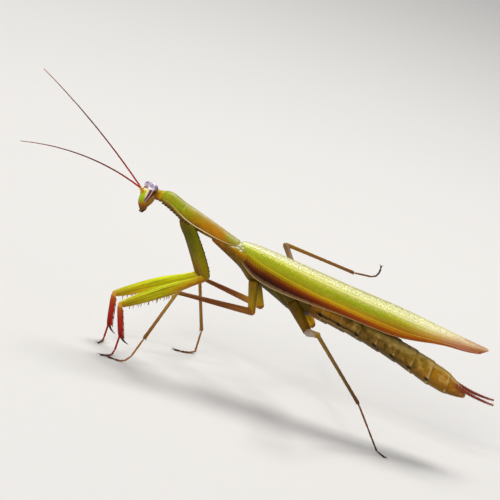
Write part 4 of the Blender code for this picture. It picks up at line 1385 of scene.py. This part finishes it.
def make_hindwings():
    """Thin smoky wings folded under the fore wings."""
    finish = Finish("hindwing", 0.3, 0.3)
    along, turn = finish.stored("along"), finish.stored("rise")
    net = finish.cells(1.0, finish.vector(along * 60.0, turn * 16.0), "DISTANCE_TO_EDGE")
    lines = 1.0 - finish.step(net, 0.02, 0.1)
    clouds = finish.noise(900, 3.0)
    colour = finish.mix(lines, finish.ramp(along, "0 b8a878, 0.6 a89468, 1 9a6a50"), "6a4820")
    paint = finish.done(colour, 0.8 + clouds * 0.4, lines, 0.02)
    for name, side in SIDES.items():
        parts = [wing_sheet(f"{name}_hindwing", HINDWING_ROOF, side, (4, 80), (120, 30))]
        for turn in spread(14, 74, HINDWING_VEINS):
            parts.append(vein(HINDWING_ROOF, side, 0.02, 0.97, lambda share: turn, 0.06))
        for part in parts:
            painted(part, paint)
        finished(f"{name}_hindwing", parts, Matrix.Identity(4), "smoky", f"hindwing_{name}")


# Legs


def limb_rings(length, outline, bow=0.0):
    return [
        oval(length * share, deep, half, bow * math.sin(math.pi * min(1, max(0, share))))
        for share, deep, half in outline
    ]


def outlined(outline, share):
    """Half the depth and half the width of a limb at a share of its length."""
    shares, depths, widths = zip(*outline)
    return np.interp(share, shares, depths), np.interp(share, shares, widths)


def round_outline(radii, knob=1.0):
    """A slender round limb, a little thicker just before each end."""
    first, middle, last = radii
    outline = [(-0.015, first * 0.5, first * 0.5)]
    for share in (0.01, 0.05, 0.12, 0.25, 0.4, 0.55, 0.7, 0.82, 0.9, 0.95, 0.985):
        low, high, part = (first, middle, share * 2) if share < 0.5 else (middle, last, share * 2 - 1)
        radius = low + (high - low) * part
        if share > 0.9:
            radius *= knob
        outline.append((share, radius, radius))
    outline.append((1.01, last * 0.55, last * 0.55))
    return outline


def bead(name, centre, radii, along):
    lump = ball(name, centre, radii)
    stored(lump, "along", [along] * len(lump.data.vertices))
    return lump


# Colours of the thighs of the fore legs, from the upper edge to the lower one.
FEMUR_TONES = {
    LEFT: [
        (0.95, "b4a020 c2b010 c6cc20 bcc41c b4b60c bcb810 c4b848"),
        (0.55, "8f6404 a8840c a89a02 a09c02 9e9802 9c8c02 9a7c10"),
        (0.0, "8a5a04 a4780a ac8a04 a29a04 a09604 9a8602 946a04"),
        (-0.55, "8d5a0b a06204 a87c0c a09004 9c8c04 947e02 985f02"),
        (-0.95, "96602c a0640c 96700c 9a8002 94820a 8c7404 9a6210"),
    ],
    RIGHT: [
        (0.95, "b8b030 c0c426 c8d016 c8cc10 b8ba08 b4b408 bcae30"),
        (0.55, "b4a028 b0ba0a c8ca08 b4b606 b0aa04 b4a808 b49830"),
        (0.0, "b49420 aaa40a a8a004 a69c04 ac9204 a08e06 a07c08"),
        (-0.55, "b08c24 9cac0c b0be20 b4b018 b49808 a88404 a07404"),
        (-0.95, "b48810 b4b418 acba08 b0b414 b8ac14 b48c14 b08820"),
    ],
}


def make_grasping_leg(name):
    leg, pair, joints = LEGS[name], PAIRS["fore"], joints_of(name)
    make_upper_arm(name, leg.side, pair.coxa, upright(joints.root, joints.hip))
    make_thigh(name, leg.side, pair.femur, upright(joints.hip, joints.knee))
    make_shin(name, leg, pair.tibia, upright(joints.knee, joints.ankle))
    make_foot(name, joints, leg)


def make_upper_arm(name, side, length, matrix):
    """The fore coxa, with a saw edge along its upper and outer sides."""
    rings = [
        ring._replace(side=side * 0.3 * (1 - eased(0.05, 0.3, ring.at / length)))
        for ring in limb_rings(length, FORE_COXA, FORE_COXA_BOW)
    ]
    coxa = painted(loft(f"coxa_{name}", rings, sides=14, levels=2), shell(f"coxa_{name}", [
        (0.9, "7d6a10 5c5a04 6f6a06 847404 857608"), (0.2, "6c5208 4e4a04 5e5804 766802 7c5f04"),
        (-0.7, "604604 464002 564c04 745e04 7a4a06"),
    ]))
    places, ridges = [], []
    for turn, count in ((0.0, 15), (side * 0.75, 11)):
        out = Vector((math.cos(turn), math.sin(turn), 0))
        points = []
        for i in range(count):
            t = 0.06 + 0.86 * i / (count - 1)
            deep, half = outlined(FORE_COXA, t)
            bow = FORE_COXA_BOW * math.sin(math.pi * t)
            points.append(Vector((bow + deep * out.x, half * out.y, length * t)))
            places.append((points[-1] - out * 0.04, out + UP * 0.5, UP, 0.36 if i % 2 else 0.24, 0.8))
        fine = points[:1]
        for start, end in zip(points, points[1:]):
            fine += [start.lerp(end, 0.5), end]
        ridges.append(thread("ridge", fine, [0.09] * len(fine), 1))
    saw = painted(thorns("saw", places), spine_finish("saw", "3a2a06", "0e0804", 0.25))
    ridge = painted(joined("ridge", ridges), shell("coxa_ridge", "6a5c08 4c4404 6c6004"))
    finished(f"coxa_{name}", [coxa, saw, ridge], matrix, "leaf_green", f"{name}_coxa")


def make_thigh(name, side, length, matrix):
    """The fore femur, with two rows of spines under its outer half and four long ones between them."""
    skin = shell(f"femur_{name}", FEMUR_TONES[side], streak=0.7)
    parts = [painted(loft(f"femur_{name}", limb_rings(length, FORE_FEMUR), sides=16, levels=2), skin)]
    size = form("spine_length") / DRAWN_SPINE
    places = []
    for row, count, reach in ((1, 13, 0.95), (-1, 6, 1.15)):
        for i in range(count):
            share = 0.37 + 0.53 * i / (count - 1)
            deep, half = outlined(FORE_FEMUR, share)
            tall = reach * (1.0 if i % 2 or row < 0 else 0.62) * (1.12 - 0.3 * share) * size
            spot = Vector((-deep * 0.86, row * side * half * 0.5, length * share))
            aim = Vector((-1.0, row * side * 0.12, 0.34))
            places.append((spot, aim, UP, tall, 0.8 if tall > 0.8 else 0.6))
    for i, tall in enumerate((0.8, 1.35, 1.5, 1.0)):
        spot = Vector((-1.0, side * 0.1 * (i - 1.5), length * (0.34 + 0.035 * i)))
        places.append((spot, Vector((-1.0, 0, 0.25)), UP, tall * size, 1.0))
    parts.append(painted(thorns("spines", places), spine_finish("femur_spine", "b8902c", "1a0a04")))
    crest_paint = shell("femur_crest", "b89a20 cdd040 d0d044 d2c048")
    lobe_paint = shell("knee_lobe", "c08c3a c48a34")
    for edge in (1, -1):
        points = []
        for t in spread(0.1, 0.94, 40):
            deep, half = outlined(FORE_FEMUR, t)
            points.append(Vector((deep * 0.62, edge * half * 0.77, length * t)))
        parts.append(painted(thread("crest", points, [0.07] * len(points), 1), crest_paint))
        lobe = bead("lobe", Vector((0.0, edge * 0.36, length * 0.985)), (0.6, 0.2, 0.55), 0.98)
        parts.append(painted(lobe, lobe_paint))
    finished(f"femur_{name}", parts, matrix, "leaf_green", f"{name}_femur")


def make_shin(name, leg, length, matrix):
    """The fore tibia, with a comb of teeth and a black hook."""
    tibia = loft(f"tibia_{name}", limb_rings(length, FORE_TIBIA), levels=2)
    parts = [painted(tibia, shell(f"tibia_{name}", [
        (1.0, "b07a10 b4500a a82806 a81e06 961204 780604"),
        (0.0, "a8740c a84208 9c2206 981606 860a04 6c0402"),
        (-1.0, "a06a08 8c3008 841a06 7c1006 6c0604 520402"),
    ], roughness=0.28, coat=0.12))]
    to_limb = matrix.inverted().to_3x3()
    back = (to_limb @ Vector((1, 0, 0))).normalized()
    aside = UP.cross(back)
    places = []
    for row, count in ((1, 15), (-1, 11)):
        for i in range(count):
            share = 0.12 + 0.84 * i / (count - 1)
            spot = back * 0.4 + aside * (0.14 * row) + UP * (length * share)
            places.append((spot, back + UP * 0.6 + aside * 0.15 * row, UP, 0.62 + 0.3 * share, 0.95))
    parts.append(painted(thorns("teeth", places), spine_finish("tibia_tooth", "a82a08", "1c0604", 0.6)))
    heading, slope = leg.tibia[0], leg.tibia[1] + 38
    aim = to_limb @ direction(leg.side, heading, slope)
    curl = to_limb @ direction(leg.side, heading, slope + 90)
    base = UP * (length - 0.45)
    shares = spread(0, 1, 22)
    points = [base + aim * (HOOK_LENGTH * t) - curl * (HOOK_BEND * math.sin(math.pi * t)) for t in shares]
    hook = thread("hook", points, [HOOK_RADIUS * (1 - t) ** 0.75 + 0.015 for t in shares], 3)
    parts.append(painted(hook, spine_finish("hook", "6a0c04", "hook", 0.35)))
    finished(f"tibia_{name}", parts, matrix, "crimson", f"{name}_tibia")


FOOT_TONES = {
    "fore": "8c1408 902810 7a3418 6b3c20 50301c 2c1810",
    "mid": "8a5a18 946020 8a5420 70401c 4c2a14 24140c",
    "hind": "70481a 6a4018 583418 442814 2c1a10 140c08",
}


def make_foot(name, joints, leg):
    """Five joints, each widening to its end, and a pair of claws."""
    finish = shell(f"tarsus_{name}", FOOT_TONES[leg.pair], mottle=0.6, speckle=0.5, pits=0.012)
    claw_paint = spine_finish("claw", "5a2c10", "0c0604", 0.3)
    parts = []
    points = joints.foot
    count = len(points) - 1
    for i, (start, end) in enumerate(zip(points, points[1:])):
        length = (end - start).length
        slim = 0.17 if i else 0.19
        outline = (
            (0.08, slim, slim), (0.5, slim + 0.01, slim + 0.01), (0.82, 0.19, 0.2), (0.95, 0.2, 0.23),
            (1.01, 0.15, 0.17), (1.03, 0.07, 0.07),
        )
        root_reach = 0.09
        if i == count - 1:
            root_reach = 0.08
            outline = ((0.1, 0.14, 0.14), (0.7, 0.17, 0.17), (0.95, 0.19, 0.2), (1.03, 0.1, 0.1))
        rings = [oval(-0.05, root_reach, root_reach), *limb_rings(length, outline)]
        segment = loft("segment", rings, sides=10)
        chart(segment, rings, i / count, (i + 1) / count)
        parts.append(painted(turned(segment, upright(start, end)), finish))
    tip, ahead = points[-1], points[-1] - points[-2]
    if leg.grounded:
        ahead.z = 0.0
    ahead.normalize()
    level = (UP - ahead * ahead.z).normalized()
    across = ahead.cross(level)
    shares = spread(0, 1, 10)
    for way in (1, -1):
        claw = [
            tip + ahead * (0.75 * t - 0.1) + across * (way * (0.08 + 0.42 * t))
            + level * (0.14 * math.sin(math.pi * t) - 0.12 * t * t)
            for t in shares
        ]
        parts.append(painted(thread("claw", claw, [0.075 * (1 - t) + 0.012 for t in shares], 1), claw_paint))
    finished(f"tarsus_{name}", parts, Matrix.Identity(4), "chestnut", f"{name}_tarsus")


# Colours of the coxa, femur and tibia of each walking leg. The coxae of the right legs, on the far side, are
# painted lighter than the left ones: painted light on parts that lie in shade.
WALKING_TONES = {
    "mid_left": (
        "6a4a08 74580a 80660a 8c6c06 8a5a08", "7c4a14 845022 70401a 66360e 6c3e18 784c18",
        "96701c 9a7428 8c6426 80561a 7c4c14",
    ),
    "mid_right": (
        "94600e 98740a ac8c10 b8960c b88008", "c08c24 8a5c1c 6a3a12 662f0c 6a3a10 7c5006",
        "8c5806 96641c 946828 8e621c 865a20",
    ),
    "hind_left": (
        "4c3404 4e3802 5c4004 634404 523408", "84683f 826a54 866c56 8e7058 86683c 7a5a1a",
        "806226 7c5c28 6c5024 604418 58360f",
    ),
    "hind_right": (
        "946a28 94701c a07818 cc980c c08c08", "c48c20 846028 6c4a24 705038 7c6248 6c5028",
        "9a7018 94681c 8c5e1a 84581e 7e5020",
    ),
}


def slender_limb(name, tones, length, outline, sides, **looks):
    limb = loft(name, limb_rings(length, outline), sides=sides, levels=2)
    return painted(limb, shell(name, tones, mottle=0.5, **looks))


def make_walking_leg(name):
    leg, joints = LEGS[name], joints_of(name)
    pair = PAIRS[leg.pair]
    coxa_tones, femur_tones, tibia_tones = WALKING_TONES[name]
    outline = round_outline(COXA_RADII[leg.pair])
    coxa = slender_limb(f"coxa_{name}", coxa_tones, pair.coxa, outline, 14, pits=0.03)
    joint = bead("trochanter", UP * (pair.coxa * 0.985), (0.78, 0.72, 0.8), 1.0)
    painted(joint, shell("trochanter", "8a5008 945a0c", pits=0.02))
    finished(f"coxa_{name}", [coxa, joint], upright(joints.root, joints.hip), "olive", f"{name}_coxa")
    outline = round_outline(FEMUR_RADII[leg.pair], 1.18)
    parts = [slender_limb(f"femur_{name}", femur_tones, pair.femur, outline, 12, speckle=0.4)]
    knee = FEMUR_RADII[leg.pair][2]
    lobe_paint = shell("walking_knee", "86703a 8a6c24")
    for edge in (1, -1):
        spot = Vector((-0.05, edge * knee * 0.62, pair.femur * 0.985))
        parts.append(painted(bead("lobe", spot, (knee * 0.95, knee * 0.45, knee * 1.1), 0.98), lobe_paint))
    finished(f"femur_{name}", parts, upright(joints.hip, joints.knee), "chestnut", f"{name}_femur")
    outline = round_outline(TIBIA_RADII[leg.pair], 1.1)
    tibia = slender_limb(f"tibia_{name}", tibia_tones, pair.tibia, outline, 10, speckle=0.4)
    places = []
    for i in range(BRISTLE_ROWS):
        share = 0.12 + 0.82 * i / (BRISTLE_ROWS - 1)
        for k in range(BRISTLES_ROUND):
            angle = math.radians(360 / BRISTLES_ROUND * k + 55 * i)
            out = Vector((math.cos(angle), math.sin(angle), 0))
            places.append((out * 0.26 + UP * (pair.tibia * share), out + UP * 0.9, UP, 0.32, 0.22))
    for edge in (-1, 1):
        out = Vector((-0.6, edge * 0.7, 0))
        places.append((out * 0.3 + UP * (pair.tibia * 0.97), out + UP * 1.6, UP, 0.9, 0.5))
    spurs = painted(thorns("spurs", places), spine_finish("spur", "7a5220", "2a1408"))
    finished(f"tibia_{name}", [tibia, spurs], upright(joints.knee, joints.ankle), "amber", f"{name}_tibia")
    make_foot(name, joints, leg)


# Stage


def make_stage(settings):
    fresh()
    bpy.ops.mesh.primitive_plane_add(size=settings.floor_size, location=(0, 0, 0))
    floor = bpy.context.object
    floor.name = "floor"
    surface = Finish("floor", 0.7, specular=0.2)
    grain = surface.noise(300, 2.0)
    painted(floor, surface.done(surface.mix(grain, "floor", "d2cfca"), 0.99 + grain * 0.02))
    scene = bpy.context.scene
    scene.world = bpy.data.worlds.new("studio")
    scene.world.use_nodes = True
    sky = scene.world.node_tree.nodes["Background"]
    sky.inputs["Color"].default_value = (0.9, 0.93, 1.0, 1.0)
    sky.inputs["Strength"].default_value = settings.sky
    middle = Vector((0, 0, 0.025))
    # Place, size, share of the key power, and whether the light is seen in what is glossy.
    for name, place, size, share, shines in (
        ("key", (0.06, 0.27, 0.6), 0.3, 1.0, True),
        ("front", (-0.25, -0.7, 0.42), 0.5, 1.1, False),
        ("side", (-0.7, 0.1, 0.3), 0.4, 0.2, False),
        ("glint", (-0.3, -0.5, 0.6), 0.06, 0.2, True),
    ):
        light = bpy.data.lights.new(name, "AREA")
        light.shape = "DISK"
        light.size = size
        light.energy = settings.key_power * share
        lamp = bpy.data.objects.new(name, light)
        scene.collection.objects.link(lamp)
        lamp.location = Vector(place)
        lamp.visible_glossy = shines
        lamp.rotation_mode = "QUATERNION"
        lamp.rotation_quaternion = (middle - lamp.location).to_track_quat("-Z", "Y")
    scene.view_settings.view_transform = "Standard"
    make_camera(settings)


# How far off the camera stands, how steeply it looks down, and the point that it looks at.
CAMERA_AWAY, CAMERA_TILT, CAMERA_AIM = 700.0, 16.0, Vector((-9.2, 7.6, 26.4))


def make_camera(settings):
    """A long lens from the left side and a little above, rolled like a camera held in the hand."""
    tilt = math.radians(CAMERA_TILT)
    eye = Vector((0, -math.cos(tilt), math.sin(tilt))) * CAMERA_AWAY
    ahead = (CAMERA_AIM - eye).normalized()
    level = ahead.cross(UP).normalized()
    steep = level.cross(ahead)
    cos, sin = math.cos(settings.roll), math.sin(settings.roll)
    right, up = level * cos + steep * sin, steep * cos - level * sin
    view = bpy.data.cameras.new("camera")
    view.sensor_width = 36
    view.lens = settings.lens
    view.clip_start, view.clip_end = 0.01, 20
    camera = bpy.data.objects.new("camera", view)
    bpy.context.scene.collection.objects.link(camera)
    turn = Matrix((right, up, -ahead)).transposed().to_4x4()
    camera.matrix_world = Matrix.Translation(on_frame(eye)) @ turn
    bpy.context.scene.camera = camera


# Add-on


def size_of(name, description, default):
    return FloatProperty(
        name=name, description=description, default=default, min=0.0, unit="LENGTH", precision=6
    )


def colour_of(name, description, code):
    return FloatVectorProperty(
        name=name, description=description, default=hue(code), min=0.0, max=1.0, size=3, subtype="COLOR"
    )


class MantisForm(bpy.types.PropertyGroup):
    feeler_thickness: size_of("Feeler thickness", "Thickness of a feeler above its stout base", 0.00034)
    rim_tooth_length: size_of("Rim tooth length", "Length of a tooth under the front of the shield", 0.00032)
    vein_height: size_of("Vein height", "Radius of the great vein of a fore wing", 0.00011)
    wing_thickness: size_of("Wing thickness", "Thickness of a wing between its veins", 0.00014)
    spine_length: size_of("Spine length", "Length of the longest spine under a fore leg", 0.0015)
    hair_length: size_of("Hair length", "Length of a hair on the cerci", 0.0005)


class MantisColours(bpy.types.PropertyGroup):
    brow: colour_of("Brow", "The bright band under the feelers", "fff6a4")
    eye_crown: colour_of("Eye crown", "The upper part of the great eyes", "a696b0")
    eye_stripe: colour_of("Eye stripe", "The dark stripes of the great eyes", "3c0a08")
    feeler_base: colour_of("Feeler base", "The thread of the feelers near the head", "a8260e")
    feeler_tip: colour_of("Feeler tip", "The thread of the feelers at its tip", "a88068")
    hook: colour_of("Hook", "The point of the hooks of the fore legs", "0c0504")
    floor: colour_of("Floor", "The pale floor", "d2cfca")


class MantisStage(bpy.types.PropertyGroup):
    floor_size: size_of("Floor size", "Side of the pale floor", 4.0)
    sky: FloatProperty(name="Sky", description="Strength of the even light all round", default=0.3)
    key_power: FloatProperty(
        name="Key light", description="Power of the main soft light", default=3.6, unit="POWER"
    )
    lens: FloatProperty(name="Lens", description="Focal length of the camera in millimetres", default=252.0)
    roll: FloatProperty(
        name="Roll", description="How far the camera is rolled", default=math.radians(18.5), subtype="ANGLE"
    )


class MANTIS_OT_head(bpy.types.Operator):
    """Model the head between the eyes"""

    bl_idname = "mantis.head"
    bl_label = "Head"

    def execute(self, context):
        make_head()
        return {"FINISHED"}


class MANTIS_OT_ocelli(bpy.types.Operator):
    """Model the three simple eyes of the brow"""

    bl_idname = "mantis.ocelli"
    bl_label = "Simple eyes"

    def execute(self, context):
        make_ocelli()
        return {"FINISHED"}


class MANTIS_OT_mouth(bpy.types.Operator):
    """Model the lip, the jaws and the feelers of the mouth"""

    bl_idname = "mantis.mouth"
    bl_label = "Mouth"

    def execute(self, context):
        make_mouth()
        return {"FINISHED"}


class MANTIS_OT_neck(bpy.types.Operator):
    """Model the soft collar behind the head"""

    bl_idname = "mantis.neck"
    bl_label = "Neck"

    def execute(self, context):
        make_neck()
        return {"FINISHED"}


class MANTIS_OT_eyes(bpy.types.Operator):
    """Model the two great eyes"""

    bl_idname = "mantis.eyes"
    bl_label = "Great eyes"

    def execute(self, context):
        make_eyes()
        return {"FINISHED"}


class MANTIS_OT_feelers(bpy.types.Operator):
    """Model the two long feelers"""

    bl_idname = "mantis.feelers"
    bl_label = "Feelers"

    def execute(self, context):
        make_feelers()
        return {"FINISHED"}


class MANTIS_OT_pronotum(bpy.types.Operator):
    """Model the long shield behind the head, with its rim and teeth"""

    bl_idname = "mantis.pronotum"
    bl_label = "Shield"

    def execute(self, context):
        make_pronotum()
        return {"FINISHED"}


class MANTIS_OT_flanks(bpy.types.Operator):
    """Model the middle and rear parts of the thorax"""

    bl_idname = "mantis.flanks"
    bl_label = "Flanks"

    def execute(self, context):
        make_thorax()
        return {"FINISHED"}


class MANTIS_OT_abdomen(bpy.types.Operator):
    """Model the ringed abdomen"""

    bl_idname = "mantis.abdomen"
    bl_label = "Abdomen"

    def execute(self, context):
        make_abdomen()
        return {"FINISHED"}


class MANTIS_OT_cerci(bpy.types.Operator):
    """Model the two hairy cerci at the tail"""

    bl_idname = "mantis.cerci"
    bl_label = "Cerci"

    def execute(self, context):
        make_cerci()
        return {"FINISHED"}


class MANTIS_OT_hindwings(bpy.types.Operator):
    """Model the folded hind wings"""

    bl_idname = "mantis.hindwings"
    bl_label = "Hind wings"

    def execute(self, context):
        make_hindwings()
        return {"FINISHED"}


class MANTIS_OT_forewings(bpy.types.Operator):
    """Model the leathery fore wings with their veins"""

    bl_idname = "mantis.forewings"
    bl_label = "Fore wings"

    def execute(self, context):
        make_forewings()
        return {"FINISHED"}


class MANTIS_OT_grasping_legs(bpy.types.Operator):
    """Model the two spined fore legs"""

    bl_idname = "mantis.grasping_legs"
    bl_label = "Grasping legs"

    def execute(self, context):
        for name in ("fore_right", "fore_left"):
            make_grasping_leg(name)
        return {"FINISHED"}


class MANTIS_OT_walking_legs(bpy.types.Operator):
    """Model the four slender walking legs"""

    bl_idname = "mantis.walking_legs"
    bl_label = "Walking legs"

    def execute(self, context):
        for name in WALKING_TONES:
            make_walking_leg(name)
        return {"FINISHED"}


class MANTIS_OT_stage(bpy.types.Operator):
    """Set out the floor, the lights and the camera"""

    bl_idname = "mantis.stage"
    bl_label = "Stage"

    def execute(self, context):
        make_stage(context.scene.mantis_stage)
        return {"FINISHED"}


OPERATORS = (
    MANTIS_OT_head, MANTIS_OT_ocelli, MANTIS_OT_mouth, MANTIS_OT_neck,
    MANTIS_OT_eyes, MANTIS_OT_feelers, MANTIS_OT_pronotum, MANTIS_OT_flanks,
    MANTIS_OT_abdomen, MANTIS_OT_cerci, MANTIS_OT_hindwings, MANTIS_OT_forewings,
    MANTIS_OT_grasping_legs, MANTIS_OT_walking_legs, MANTIS_OT_stage,
)
SETTINGS = {"mantis_form": MantisForm, "mantis_colours": MantisColours, "mantis_stage": MantisStage}


class MANTIS_PT_pieces(bpy.types.Panel):
    """Lists the pieces of the mantis and its settings"""

    bl_label = "Praying mantis"
    bl_space_type = "VIEW_3D"
    bl_region_type = "UI"
    bl_category = "Mantis"

    def draw(self, context):
        for group, made in SETTINGS.items():
            box = self.layout.box()
            for name in made.__annotations__:
                box.prop(getattr(context.scene, group), name)
        for operator in OPERATORS:
            self.layout.operator(operator.bl_idname)


CLASSES = (*SETTINGS.values(), *OPERATORS, MANTIS_PT_pieces)


def register():
    for made in CLASSES:
        bpy.utils.register_class(made)
    for group, made in SETTINGS.items():
        setattr(bpy.types.Scene, group, PointerProperty(type=made))


def unregister():
    for group in SETTINGS:
        delattr(bpy.types.Scene, group)
    for made in reversed(CLASSES):
        bpy.utils.unregister_class(made)


def main():
    register()
    bpy.ops.mantis.head()
    bpy.ops.mantis.ocelli()
    bpy.ops.mantis.mouth()
    bpy.ops.mantis.neck()
    bpy.ops.mantis.eyes()
    bpy.ops.mantis.feelers()
    bpy.ops.mantis.pronotum()
    bpy.ops.mantis.flanks()
    bpy.ops.mantis.abdomen()
    bpy.ops.mantis.cerci()
    bpy.ops.mantis.hindwings()
    bpy.ops.mantis.forewings()
    bpy.ops.mantis.grasping_legs()
    bpy.ops.mantis.walking_legs()
    bpy.ops.mantis.stage()


if __name__ == "__main__":
    main()
